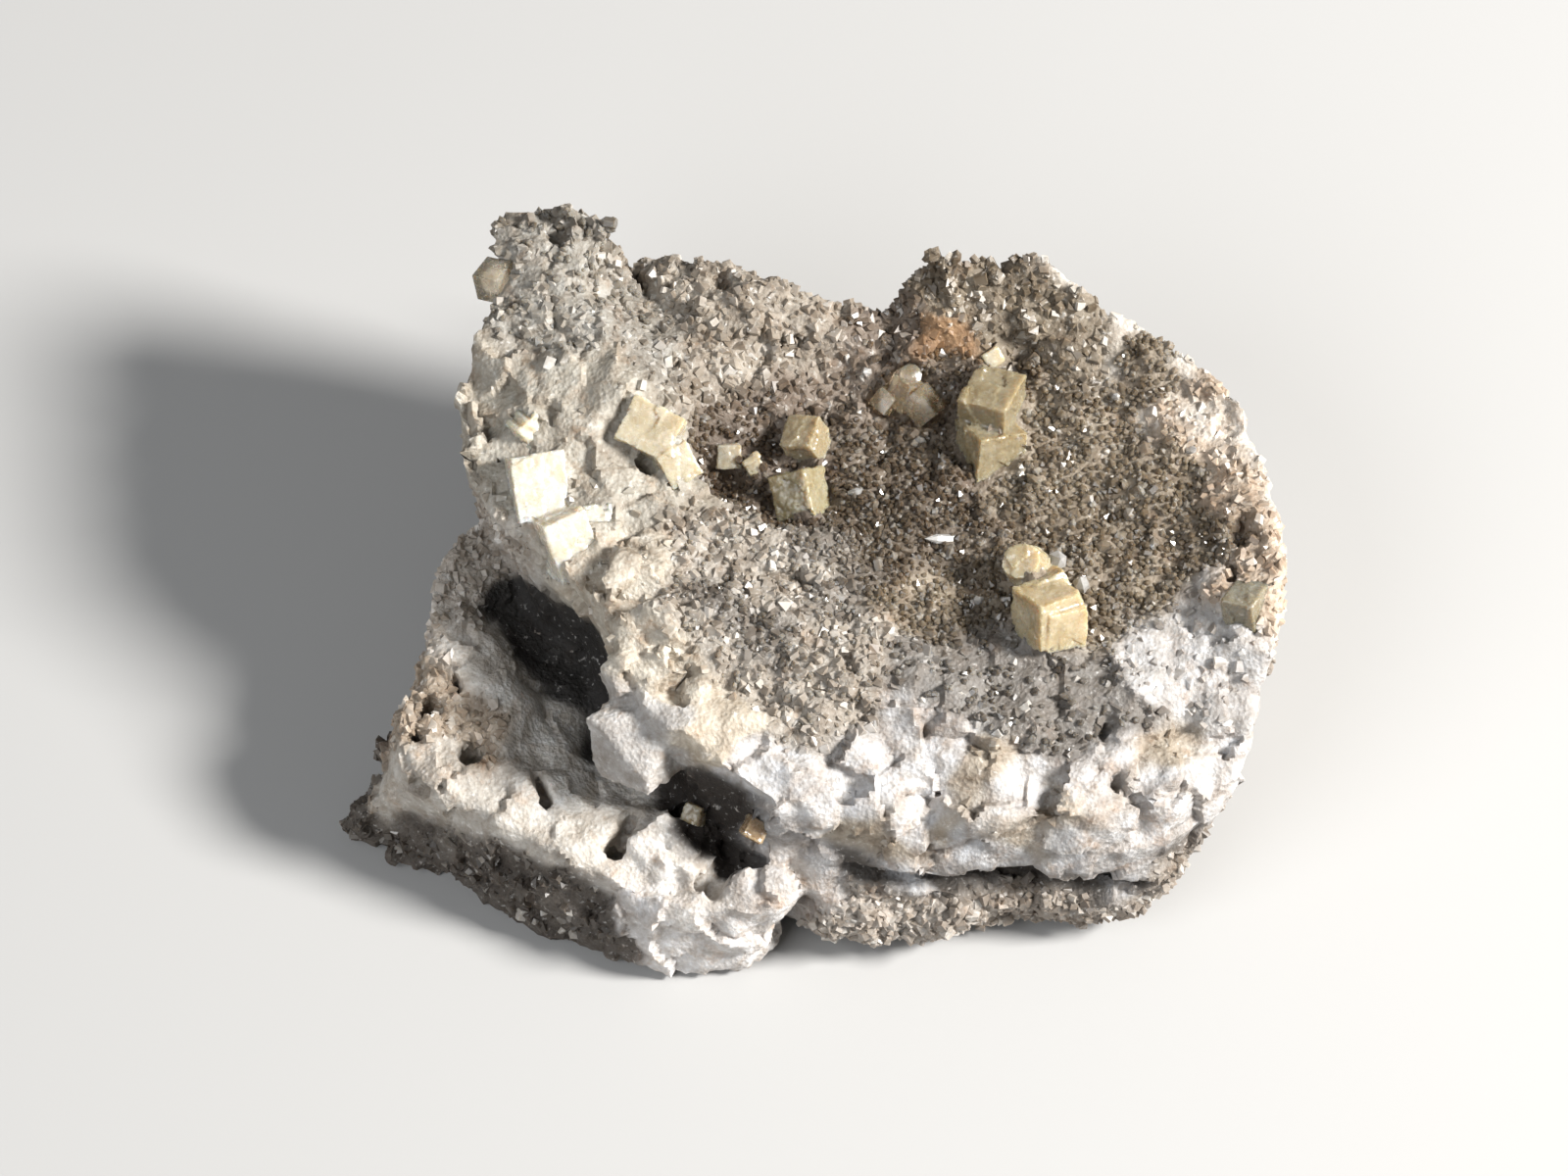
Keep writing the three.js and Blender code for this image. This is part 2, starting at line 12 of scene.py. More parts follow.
import bpy
import numpy as np
from bpy.props import FloatProperty, FloatVectorProperty, IntProperty, PointerProperty
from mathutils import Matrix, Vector
from mathutils.bvhtree import BVHTree


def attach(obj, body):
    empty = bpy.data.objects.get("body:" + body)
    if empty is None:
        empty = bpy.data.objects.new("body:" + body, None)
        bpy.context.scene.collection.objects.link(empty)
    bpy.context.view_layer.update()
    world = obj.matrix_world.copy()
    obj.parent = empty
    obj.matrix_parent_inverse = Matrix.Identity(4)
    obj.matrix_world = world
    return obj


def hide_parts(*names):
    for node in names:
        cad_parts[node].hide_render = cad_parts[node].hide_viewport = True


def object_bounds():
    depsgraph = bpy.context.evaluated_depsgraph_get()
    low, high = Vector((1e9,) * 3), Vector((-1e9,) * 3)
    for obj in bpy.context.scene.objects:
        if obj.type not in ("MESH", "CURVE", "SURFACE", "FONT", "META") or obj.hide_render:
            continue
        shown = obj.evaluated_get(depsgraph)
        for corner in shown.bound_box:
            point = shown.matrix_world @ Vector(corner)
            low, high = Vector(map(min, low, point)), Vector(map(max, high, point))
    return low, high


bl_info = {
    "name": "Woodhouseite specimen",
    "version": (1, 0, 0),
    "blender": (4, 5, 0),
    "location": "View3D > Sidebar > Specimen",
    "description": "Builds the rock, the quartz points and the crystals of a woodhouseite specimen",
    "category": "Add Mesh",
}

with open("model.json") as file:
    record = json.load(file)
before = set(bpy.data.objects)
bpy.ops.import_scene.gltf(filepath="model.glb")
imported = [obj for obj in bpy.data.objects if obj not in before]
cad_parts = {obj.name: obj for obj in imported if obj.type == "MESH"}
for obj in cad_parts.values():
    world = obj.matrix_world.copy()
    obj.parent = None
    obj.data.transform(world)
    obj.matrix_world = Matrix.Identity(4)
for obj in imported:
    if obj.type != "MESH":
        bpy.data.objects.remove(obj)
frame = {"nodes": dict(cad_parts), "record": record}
CAD_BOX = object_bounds()
BODY = "root"
ROCK_NODE = "quartz_matrix"
MM = 0.001
SEED = 41


# Zones of the rock


class Zone(NamedTuple):
    """A kind of surface: its colour, how strongly it is broken up, what grows on it and where it is."""

    colour: tuple
    blocks: float
    grains: float
    points: float
    gloss: float
    places: tuple


# Colours are linear; blocks, grains, points and gloss run from 0 to 1; places are in millimetres.
ZONES = {
    "drusy floor": Zone(
        (0.31, 0.262, 0.20), 0.5, 0.0, 1.0, 0.6,
        ((15.6, 3.4, 18), (19.8, 9.4, 18.6), (25.6, 5.1, 19), (23.4, 12.6, 20), (9.0, -7.6, 18),
         (26.5, 0.0, 18.4), (19.8, -5.0, 18), (15.5, -1.0, 18), (16.0, 13.5, 19)),
    ),
    "dark floor": Zone(
        (0.18, 0.145, 0.108), 0.5, 0.0, 1.0, 0.6,
        ((9.6, 2.4, 18), (5.4, -2.4, 18), (2.5, 3.4, 17.6), (4.0, 9.6, 17.8), (9.0, 12.8, 18.8),
         (10.0, 7.6, 18)),
    ),
    "crest": Zone(
        (0.26, 0.22, 0.165), 0.7, 0.8, 0.15, 0.3,
        ((11.5, 19.8, 24.5), (15.5, 19.0, 24), (19.0, 17.3, 22.5), (13.0, 17.0, 21.6), (8.6, 18.4, 22)),
    ),
    # Partly the rim's own cream-tan, partly a painted highlight where the key light from the right strikes
    # the rim.
    "right rim with painted highlight": Zone(
        (0.62, 0.52, 0.42), 0.6, 0.8, 0.2, 0.3,
        ((33.1, 1.0, 20.8), (33.6, -5.0, 20), (29.6, 11.0, 20.8), (31.8, 6.0, 20.6), (31.0, 2.0, 20)),
    ),
    "ochre lump": Zone((0.34, 0.21, 0.11), 0.4, 0.5, 0.1, 0.2, ((9.0, 15.8, 20.6),)),
    "pale edge": Zone(
        (0.80, 0.77, 0.72), 0.5, 0.3, 0.0, 0.6,
        ((20.4, 18.6, 22.6), (24.4, 16.6, 21), (28.4, 14.0, 20), (31.6, 11.0, 19.6), (34.0, 6.6, 19.4),
         (34.8, 2.6, 19), (26.4, 15.4, 18), (32.8, 9.0, 17)),
    ),
    "back strip": Zone(
        (0.42, 0.38, 0.325), 0.7, 0.9, 0.1, 0.3,
        ((-9.0, 20.0, 22.6), (-4.7, 18.6, 22.4), (0.2, 17.2, 21.8), (-7.2, 14.6, 21.8), (-3.0, 16.4, 22)),
    ),
    # Partly the rock's own brown, partly painted shadow: the shadow that the crystals and the raised mass
    # beside it cast on this slope is painted darker.
    "slope with painted shadow": Zone(
        (0.25, 0.205, 0.165), 0.5, 0.8, 0.3, 0.4,
        ((3.6, 14.6, 19.4), (5.6, 12.8, 18.8), (-1.6, 11.8, 18.8), (5.2, 17.4, 20.4)),
    ),
    "head": Zone(
        (0.40, 0.383, 0.345), 0.9, 0.4, 0.3, 0.7,
        ((-19.0, 23.5, 24), (-16.2, 21.8, 24), (-20.5, 16.8, 23), (-14.0, 19.4, 23)),
    ),
    "cream mass": Zone(
        (0.51, 0.485, 0.425), 0.9, 0.22, 0.12, 0.8,
        ((-16.2, 11.9, 23.4), (-13.3, 8.0, 23), (-19.0, 10.2, 22.6), (-10.4, 5.4, 21.8), (-13.3, 4.9, 22),
         (-22.0, 9.0, 22), (-17.6, 5.4, 21.8)),
    ),
    "speckled patch": Zone((0.40, 0.385, 0.35), 0.4, 0.6, 0.2, 0.5, ((-12.4, 15.4, 23), (-16.2, 17.2, 23.6))),
    # Partly the floor's own dark brown, partly painted shade: the shade in this hollow and the shadows of the
    # crystals beside it are painted darker.
    "basin with painted shade": Zone(
        (0.155, 0.12, 0.09), 0.3, 0.2, 0.8, 0.6,
        ((-6.1, 8.1, 16), (-7.4, 6.4, 16), (-3.2, 4.7, 16.6), (1.4, 8.0, 17), (-2.0, 9.0, 16.8)),
    ),
    "pale blocks": Zone(
        (0.64, 0.60, 0.52), 1.0, 0.25, 0.0, 0.7,
        ((-13.0, -3.0, 20.4), (-11.0, -6.4, 20), (-12.6, -8.6, 19.6), (-9.4, -10.6, 19)),
    ),
    "granular shoulder": Zone(
        (0.50, 0.465, 0.415), 0.7, 0.9, 0.3, 0.4,
        ((-9.0, -1.2, 20.8), (-4.7, -2.0, 20.2), (-8.0, -6.3, 20.2), (-0.4, -4.6, 19.6), (1.8, -9.7, 19.2),
         (-4.7, -9.7, 19.8), (5.4, -10.6, 18.8), (-2.0, -13.0, 18.6)),
    ),
    "grey shoulder": Zone(
        (0.27, 0.25, 0.225), 0.4, 0.8, 0.5, 0.6,
        ((-5.6, -4.8, 20), (-1.0, -0.6, 19.4), (-2.0, -7.6, 19.6), (3.0, -5.6, 18.8)),
    ),
    "grey apron": Zone(
        (0.235, 0.222, 0.206), 0.6, 0.35, 0.35, 0.7,
        ((12.6, -13.6, 17.8), (17.6, -14.6, 17.2), (9.0, -12.6, 18), (20.4, -11.6, 17.6),
         (14.6, -11.0, 17.8)),
    ),
    "white band": Zone(
        (0.64, 0.645, 0.66), 1.0, 0.08, 0.0, 0.8,
        ((4.0, -17.6, 15.6), (9.7, -18.6, 15), (16.2, -19.6, 14.4), (23.4, -19.4, 12), (27.0, -17.0, 13.6),
         (30.4, -12.6, 14.6), (-1.4, -18.0, 15), (-4.7, -17.2, 15.6), (20.0, -17.2, 15.4)),
    ),
    "cream seams": Zone(
        (0.46, 0.41, 0.335), 1.0, 0.3, 0.0, 0.6,
        ((12.3, -18.8, 15), (20.0, -18.2, 14), (17.0, -20.2, 12), (6.4, -19.6, 13), (26.6, -14.6, 15.4)),
    ),
    "white patch": Zone(
        (0.56, 0.56, 0.565), 0.5, 0.4, 0.2, 0.7, ((27.7, -7.6, 18), (30.0, -8.4, 17.6), (26.2, -11.6, 17)),
    ),
    # Painted light: the shelf's own pale grey is painted lighter still, to stand in for the light that the
    # plate keeps off it.
    "shelf": Zone(
        (0.86, 0.845, 0.81), 0.5, 0.0, 0.0, 0.8,
        ((-21.2, -6.6, 11), (-19.0, -8.5, 10), (-23.4, -3.8, 12), (-16.2, -13.6, 10), (-13.3, -15.3, 9.8),
         (-18.4, -11.6, 9.4)),
    ),
    "shelf rim": Zone(
        (0.64, 0.60, 0.55), 0.7, 0.8, 0.1, 0.4,
        ((-24.8, 3.2, 13), (-26.0, -0.6, 12.8), (-26.4, -4.6, 12.2)),
    ),
    "crumbly edge": Zone(
        (0.58, 0.50, 0.41), 0.8, 1.0, 0.0, 0.2,
        ((-26.8, -8.0, 11.8), (-28.2, -11.2, 11.2), (-25.2, -10.4, 11.4)),
    ),
    "shelf lip": Zone(
        (0.60, 0.575, 0.53), 0.7, 0.1, 0.0, 0.8,
        ((-27.4, -14.4, 10.2), (-22.0, -16.4, 10.2), (-16.8, -18.8, 9.6), (-12.8, -17.6, 9.6)),
    ),
    "front white": Zone(
        (0.80, 0.80, 0.81), 0.9, 0.12, 0.0, 0.7,
        ((-9.4, -20.6, 7), (-4.7, -23.6, 7), (-9.0, -24.8, 4), (-12.6, -22.6, 6), (-2.4, -22.6, 8.6)),
    ),
    "wedge block": Zone(
        (0.56, 0.55, 0.54), 0.12, 0.0, 0.0, 0.8,
        ((-12.2, -15.5, 16.2), (-12.6, -17.0, 14.2), (-10.4, -15.6, 15.6), (-12.6, -13.4, 17)),
    ),
    "wedge neighbour": Zone(
        (0.70, 0.64, 0.54), 0.3, 0.15, 0.0, 0.7, ((-6.9, -15.4, 16.4), (-8.6, -14.6, 17.4)),
    ),
    "cast block": Zone(
        (0.84, 0.82, 0.79), 0.3, 0.1, 0.0, 0.6,
        ((-9.8, -20.2, 8.6), (-8.6, -21.4, 8), (-11.2, -18.8, 8.8), (-10.4, -18.8, 10.2)),
    ),
    # Painted shade: the walls of the hollow in the front are painted near black where they lie in shade.
    "painted shade on the cast walls": Zone(
        (0.028, 0.021, 0.016), 0.5, 0.1, 0.0, 0.1,
        ((-5.6, -18.2, 9.6), (-4.2, -21.2, 9.4), (-8.4, -16.2, 9.6), (-6.2, -18.0, 12.6), (-6.4, -19.4, 6)),
    ),
    # Painted shadow: the plate's shadow on the trough and on the wall under the plate's edge is painted near
    # black.
    "painted shadow in the trough": Zone(
        (0.034, 0.031, 0.028), 0.4, 0.0, 0.0, 0.1,
        ((-16.0, -5.0, 8.6), (-14.6, -8.8, 8.6), (-18.0, -1.6, 9), (-15.0, -6.0, 13), (-20.4, 2.4, 10),
         (-13.6, -10.4, 11)),
    ),
    "ledge": Zone(
        (0.45, 0.415, 0.375), 0.9, 1.0, 0.0, 0.2,
        ((4.0, -23.4, 5.4), (9.0, -23.6, 4.6), (14.0, -22.8, 5), (19.8, -23.0, 4.6), (24.6, -21.6, 4.4),
         (8.0, -22.4, 7)),
    ),
    # Partly the band's own grey-white, partly painted shade: the front faces under the white band are painted
    # greyer where they lie in shade.
    "grey front with painted shade": Zone(
        (0.50, 0.51, 0.53), 0.9, 0.1, 0.0, 0.8,
        ((0.4, -21.2, 10.6), (7.0, -21.0, 10), (14.0, -20.8, 9.8), (20.0, -20.8, 9.4)),
    ),
    # Painted shadow: the shadow under the white band's overhang is painted dark along the crevice.
    "crevice": Zone(
        (0.10, 0.09, 0.08), 0.4, 0.0, 0.0, 0.3,
        ((4.0, -20.4, 8.4), (9.0, -20.0, 7.8), (14.0, -19.6, 7.6), (19.0, -19.4, 7.4), (24.0, -19.0, 7)),
    ),
    "flank": Zone(
        (0.37, 0.33, 0.285), 0.9, 0.5, 0.0, 0.4,
        ((-27.0, 1.0, 5), (-24.5, 10.0, 8), (-24.0, 20.0, 8), (32.0, 0.0, 8), (31.0, -12.0, 5),
         (29.0, 9.0, 8), (20.0, 17.0, 9)),
    ),
    # Painted shade: the lower left foot, which faces away from the light, is painted near black.
    "painted shade on the foot": Zone(
        (0.125, 0.11, 0.095), 0.9, 0.5, 0.0, 0.4,
        ((-28.0, -17.0, 3), (-31.0, -10.0, 5), (-21.0, -21.0, 4), (-16.0, -23.6, 3)),
    ),
    "back face": Zone(
        (0.47, 0.405, 0.33), 0.9, 0.6, 0.0, 0.3,
        ((10.0, 19.0, 12), (-2.0, 19.0, 8), (-14.0, 22.0, 10), (6.0, 18.0, 5), (26.0, 13.0, 14)),
    ),
    "underside": Zone(
        (0.43, 0.375, 0.31), 0.6, 0.2, 0.0, 0.2,
        ((0.0, 0.0, 0), (15.0, 5.0, 0), (15.0, -12.0, 0), (-12.0, 10.0, 0), (-15.0, -12.0, 0),
         (-25.0, -12.0, 0)),
    ),
}

# How sharply zones meet, how far they blend at their borders and how waves bend the borders
ZONE_SHARPNESS = 4.5
ZONE_BLUR = 0.8 * MM
BORDER_WARP = {"size": 2.6 * MM, "reach": 1.5 * MM, "slant": 0.6}

# Rock that is inside a crystal, or nearer to its face than the skin, is pulled under the face by the depth.
# The reach is how far from a face such rock is looked for.
CRYSTAL_SKIN = 0.2 * MM
SINK_REACH = 3 * CRYSTAL_SKIN
SINK_DEPTH = 2.5 * CRYSTAL_SKIN

# Round a crystal the rock is calmer and bare. Each pair is the distance where a change starts, and its width.
# The last pair does the same for the height over the floor.
CRYSTAL_REACH = 2.0 * MM
BROKEN_ROCK = (0.15 * MM, 0.7 * MM)
GROWN_ROCK = (0.3 * MM, 0.1 * MM)
ROOM_FOR_LARGE_POINTS = (1.2 * MM, 0.2 * MM)
HEIGHT_OVER_FLOOR = (0.8 * MM, 1.0 * MM)

# Facets: how far a seed shifts their pattern, in metres, then their wobble and seams as shares of their size.
# A facet with the unraised level stays at its height.
FACET_SHIFT = (0.013, 0.007, 0.011)
WOBBLE_SIZE = 0.8
WOBBLE_REACH = 0.45
SEAM_WIDTH = 0.13
UNRAISED_LEVEL = 0.52

# A duller zone breaks into more chips. At this gloss it would have none.
CHIPLESS_GLOSS = 1.15
CHIP_POWER = 1.4

# The noise that neither raises nor lowers a surface
MEAN_NOISE = 0.55

# Angles between faces over which an edge is kept sharp
ROCK_EDGE = math.radians(38)
CRYSTAL_EDGE = math.radians(40)
BEVEL_EDGE = math.radians(20)

# Blocks that stand higher than on the solid: centre and size in millimetres, and turns in degrees
LUMPS = {
    "block in the front cast": ((-10.4, -19.2, 8.0), (3.8, 4.0, 4.2), (30, -24, 30)),
    "its lower corner": ((-9.2, -20.6, 7.2), (3.2, 3.4, 3.6), (12, 20, 55)),
}

# Most that a pit leans, in radians
PIT_LEAN = 0.2

# Small holes and slits: centre and radii in millimetres, and turn about +Z in degrees
PITS = {
    "gap beside the head": ((-11.7, 22.0, 23.0), (1.0, 3.6, 4.2), 22),
    "hole in the head": ((-18.0, 23.2, 24.0), (0.9, 1.3, 1.6), -20),
    "hole in the shelf": ((-24.4, -12.8, 10.6), (1.2, 1.1, 4.4), 0),
    "upper left hole": ((-23.7, 8.0, 22.2), (1.0, 1.3, 2.0), 20),
    "rusty slit": ((-19.2, -15.7, 10.4), (0.6, 2.0, 3.8), 24),
    "pit by the apron": ((21.6, -14.2, 16.6), (0.9, 0.7, 1.4), 10),
    "pit under it": ((22.4, -18.0, 14.6), (1.0, 0.6, 1.4), 20),
    "pit by the rim": ((31.4, 0.0, 20.2), (1.0, 1.5, 1.2), -30),
    "second rim pit": ((30.6, -3.2, 19.4), (0.7, 1.2, 1.0), 10),
    "hole in the back strip": ((-6.2, 20.2, 22.6), (1.0, 0.8, 1.8), 30),
    "hole beside it": ((-8.6, 19.2, 22.6), (0.7, 0.9, 1.4), -10),
    "gap by the ledge crystals": ((-11.4, 4.8, 21.6), (1.0, 0.8, 1.6), 0),
    "gap by the edge crystals": ((-15.0, 3.4, 20.8), (1.3, 0.9, 1.8), -20),
    "hollow under the shoulder": ((-8.6, -11.4, 18.8), (0.9, 0.7, 1.2), 0),
    "crumbly hollow": ((-27.4, -9.4, 11.4), (1.0, 1.0, 3.6), 0),
    "second crumbly hollow": ((-28.4, -11.6, 11.0), (0.8, 0.7, 3.2), 0),
    "third crumbly hollow": ((-25.8, -7.6, 11.5), (0.7, 0.9, 3.2), 30),
    "crevice mouth": ((7.2, -22.0, 8.0), (1.3, 1.4, 0.9), 0),
}


# Settings that a user would change


class RockSettings(bpy.types.PropertyGroup):
    """Sizes of the rock's surface."""

    voxel: FloatProperty(
        name="Voxel",
        description="Edge of the small cubes that the rock's surface is rebuilt from",
        default=0.36 * MM,
        unit="LENGTH",
    )
    block: FloatProperty(
        name="Block", description="Size of the blocks that the rock is in", default=3.1 * MM, unit="LENGTH"
    )
    block_step: FloatProperty(
        name="Block step", description="How far a block stands over the next", default=0.5 * MM, unit="LENGTH"
    )
    chip: FloatProperty(
        name="Chip", description="Size of the small chips on the blocks", default=1.25 * MM, unit="LENGTH"
    )
    chip_step: FloatProperty(
        name="Chip step", description="How far a chip stands over the next", default=0.26 * MM, unit="LENGTH"
    )


class PointSettings(bpy.types.PropertyGroup):
    """Sizes of the quartz points."""

    spacing: FloatProperty(
        name="Spacing", description="Least distance between two points", default=0.38 * MM, unit="LENGTH"
    )
    large_spacing: FloatProperty(
        name="Large spacing",
        description="Least distance between two large points",
        default=1.3 * MM,
        unit="LENGTH",
    )
    width: FloatProperty(name="Width", description="Width of a point", default=0.58 * MM, unit="LENGTH")
    height: FloatProperty(name="Height", description="Height of a point", default=0.72 * MM, unit="LENGTH")
    lean: FloatProperty(
        name="Lean",
        description="How far a point may lean from the surface's normal",
        default=math.radians(40),
        subtype="ANGLE",
    )


class GrainSettings(bpy.types.PropertyGroup):
    """Sizes of the grains."""

    spacing: FloatProperty(
        name="Spacing", description="Least distance between two grains", default=0.44 * MM, unit="LENGTH"
    )
    size: FloatProperty(name="Size", description="Width of a grain", default=0.62 * MM, unit="LENGTH")
    seed: IntProperty(name="Seed", description="Seed of the places", default=SEED)


class CrystalSettings(bpy.types.PropertyGroup):
    """Finish of the woodhouseite crystals."""

    edge: FloatProperty(
        name="Worn edge", description="Width of a crystal's rounded edge", default=0.22 * MM, unit="LENGTH"
    )
    honey: FloatVectorProperty(
        name="Honey", description="Colour of honey crystals", subtype="COLOR", default=(0.53, 0.455, 0.315)
    )
    pale: FloatVectorProperty(
        name="Pale", description="Colour of the pale crystals", subtype="COLOR", default=(0.70, 0.665, 0.58)
    )
    clear: FloatVectorProperty(
        name="Clear", description="Colour of the clear crystals", subtype="COLOR", default=(0.84, 0.82, 0.78)
    )


class StageSettings(bpy.types.PropertyGroup):
    """Floor, light and camera."""

    floor: FloatVectorProperty(
        name="Floor", description="Colour of the floor", subtype="COLOR", default=(0.40, 0.395, 0.385)
    )
    key: FloatProperty(name="Key light", description="Strength of the main light", default=14.7, unit="POWER")
    fill: FloatProperty(name="Fill light", description="Strength of the fill", default=3.2, unit="POWER")
    elevation: FloatProperty(
        name="Camera elevation",
        description="Height of the camera over the horizon",
        default=math.radians(58),
        subtype="ANGLE",
    )


# Helpers for objects


def select_only(piece):
    bpy.ops.object.select_all(action="DESELECT")
    piece.select_set(True)
    bpy.context.view_layer.objects.active = piece


def apply_modifier(piece, kind, **settings):
    """Adds a modifier with these settings and applies it."""
    select_only(piece)
    modifier = piece.modifiers.new(kind.title(), kind)
    for name, value in settings.items():
        setattr(modifier, name, value)
    bpy.ops.object.modifier_apply(modifier=modifier.name)


def copy_of_node(node, name):
    """A merged copy of a CAD node, which can be reshaped."""
    original = frame["nodes"][node]
    piece = bpy.data.objects.new(name, original.data.copy())
    bpy.context.scene.collection.objects.link(piece)
    piece.data.name = name
    piece.data.materials.clear()
    select_only(piece)
    bpy.ops.object.mode_set(mode="EDIT")
    bpy.ops.mesh.select_all(action="SELECT")
    bpy.ops.mesh.remove_doubles(threshold=1e-6)
    bpy.ops.object.mode_set(mode="OBJECT")
    return piece


def vertex_places(piece):
    places = np.empty(len(piece.data.vertices) * 3, np.float32)
    piece.data.vertices.foreach_get("co", places)
    return places.reshape(-1, 3)


def store(piece, name, values):
    """Keeps one number, or one colour, for each vertex."""
    values = np.asarray(values, np.float32)
    if values.ndim == 1:
        piece.data.attributes.new(name, "FLOAT", "POINT").data.foreach_set("value", values)
    else:
        colours = np.ones((len(values), 4), np.float32)
        colours[:, :3] = values
        piece.data.attributes.new(name, "FLOAT_COLOR", "POINT").data.foreach_set("color", colours.ravel())


def finish_piece(piece, material, replaced=()):
    """Gives a finished piece its material, body and slot, and hides the nodes that it stands for."""
    piece.data.materials.clear()
    piece.data.materials.append(material)
    if replaced:
        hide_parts(*replaced)
    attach(piece, BODY)


# Helpers for node trees


class Builder:
    """Adds nodes to a tree. A value that is a socket is linked, any other is set on the socket."""

    def __init__(self, tree):
        self.tree = tree

    @staticmethod
    def named(sockets, name):
        if isinstance(name, int):
            return sockets[name]
        return next(socket for socket in sockets if socket.name == name and socket.enabled)

    def feed(self, socket, value):
        if isinstance(value, bpy.types.NodeSocket):
            self.tree.links.new(value, socket)
        else:
            socket.default_value = value

    def feed_all(self, node, inputs):
        for name, value in inputs.items():
            self.feed(self.named(node.inputs, name), value)

    def add(self, kind, inputs=None, output=0, **settings):
        """Adds a node and returns one of its outputs."""
        node = self.tree.nodes.new(kind)
        for name, value in settings.items():
            setattr(node, name, value)
        self.feed_all(node, inputs or {})
        return self.named(node.outputs, output) if node.outputs else None

    def math(self, operation, first, second=0.0):
        return self.add("ShaderNodeMath", {0: first, 1: second}, operation=operation)

    def vector(self, operation, first, second, output=0):
        return self.add("ShaderNodeVectorMath", {0: first, 1: second}, output, operation=operation)

    def scaled(self, vector, factor):
        return self.add("ShaderNodeVectorMath", {0: vector, "Scale": factor}, operation="SCALE")

    def ramp(self, value, low, high):
        """0 at low, 1 at high, and straight between."""
        inputs = {"Value": value, "From Min": low, "From Max": high}
        return self.add("ShaderNodeMapRange", inputs, clamp=True)

    def mix(self, share, first, second, blend="MIX"):
        """A colour between two colours."""
        node = self.tree.nodes.new("ShaderNodeMix")
        node.data_type = "RGBA"
        node.blend_type = blend
        self.feed_all(node, {"Factor": share, "A": first, "B": second})
        return self.named(node.outputs, "Result")

    def stained(self, colour, stain):
        """A colour multiplied by a stain of red, green and blue."""
        return self.mix(1.0, colour, (*stain, 1), "MULTIPLY")

    def noise(self, place, size, detail=2.0, roughness=0.5, output="Fac"):
        inputs = {"Vector": place, "Scale": 1 / size, "Detail": detail, "Roughness": roughness}
        return self.add("ShaderNodeTexNoise", inputs, output)

    def cells(self, place, size, output="Distance", feature="F1"):
        return self.add("ShaderNodeTexVoronoi", {"Vector": place, "Scale": 1 / size}, output, feature=feature)

    def bump(self, height, strength, distance):
        return self.add("ShaderNodeBump", {"Height": height, "Strength": strength, "Distance": distance})

    def kept(self, geometry, name, value):
        """Stores a number for each point of a geometry."""
        inputs = {"Geometry": geometry, "Name": name, "Value": value}
        return self.add("GeometryNodeStoreNamedAttribute", inputs, data_type="FLOAT", domain="POINT")

    def moved(self, geometry, height):
        """Moves a surface along its normals by this height."""
        offset = self.scaled(self.add("GeometryNodeInputNormal"), height)
        return self.add("GeometryNodeSetPosition", {"Geometry": geometry, "Offset": offset})

    def chance(self, kind, low, high, seed):
        """A random number or vector for each point."""
        sockets = {"FLOAT_VECTOR": (0, 1, 0), "FLOAT": (2, 3, 1), "INT": (4, 5, 2)}
        low_input, high_input, output = sockets[kind]
        inputs = {low_input: low, high_input: high, "Seed": seed}
        return self.add("FunctionNodeRandomValue", inputs, output, data_type=kind)


def geometry_tree(name):
    """A node tree for a modifier, with its builder, its incoming geometry and its output node."""
    tree = bpy.data.node_groups.new(name, "GeometryNodeTree")
    tree.interface.new_socket("Geometry", in_out="INPUT", socket_type="NodeSocketGeometry")
    tree.interface.new_socket("Geometry", in_out="OUTPUT", socket_type="NodeSocketGeometry")
    build = Builder(tree)
    incoming = build.add("NodeGroupInput")
    outgoing = tree.nodes.new("NodeGroupOutput")
    return tree, build, incoming, outgoing.inputs[0]


def apply_tree(piece, tree):
    apply_modifier(piece, "NODES", node_group=tree)
    bpy.data.node_groups.remove(tree)


def attribute(build, name):
    return build.add("GeometryNodeInputNamedAttribute", {"Name": name}, "Attribute", data_type="FLOAT")


# The rock


def warped(places, size, reach, slant):
    """Places that are pushed about by three waves, so that zone borders are irregular."""
    out = places.copy()
    waves = ((1.0, 0.0), (2.3, 1.7), (4.1, 3.9))
    for axis in range(3):
        turned = places[:, (axis + 1) % 3] + slant * places[:, (axis + 2) % 3]
        for pace, phase in waves:
            out[:, axis] += reach / pace * np.sin(pace * turned / size + phase + 2 * axis)
    return out


def zone_shares(places):
    """How far each vertex belongs to each zone, adding up to 1."""
    moved = warped(places, **BORDER_WARP)
    shares = np.zeros((len(ZONES), len(places)), np.float64)
    for row, zone in enumerate(ZONES.values()):
        for place in zone.places:
            apart = moved - np.array(place, np.float32) * MM
            squared = (apart * apart).sum(axis=1) + ZONE_BLUR**2
            shares[row] += (squared / MM**2) ** -ZONE_SHARPNESS
    return shares / shares.sum(axis=0)


def fade(values, start, width):
    """0 up to the start, 1 beyond the width, and straight between."""
    return np.clip((values - start) / width, 0, 1)


def paint_zones(piece):
    """Stores the colour and the other values of the zones for each vertex. Crystals stay unbroken."""
    shares = zone_shares(vertex_places(piece)).T
    zones = list(ZONES.values())
    open_rock = fade(crystal_distance(piece), *BROKEN_ROCK)
    store(piece, "tint", shares @ np.array([zone.colour for zone in zones]))
    for name in ("grains", "points", "gloss"):
        store(piece, name, shares @ np.array([getattr(zone, name) for zone in zones]))
    store(piece, "blocks", open_rock * (shares @ np.array([zone.blocks for zone in zones])))
    chips = np.array([zone.blocks * (CHIPLESS_GLOSS - zone.gloss) ** CHIP_POWER for zone in zones])
    store(piece, "chips", open_rock * (shares @ chips))
    store(piece, "open rock", open_rock)


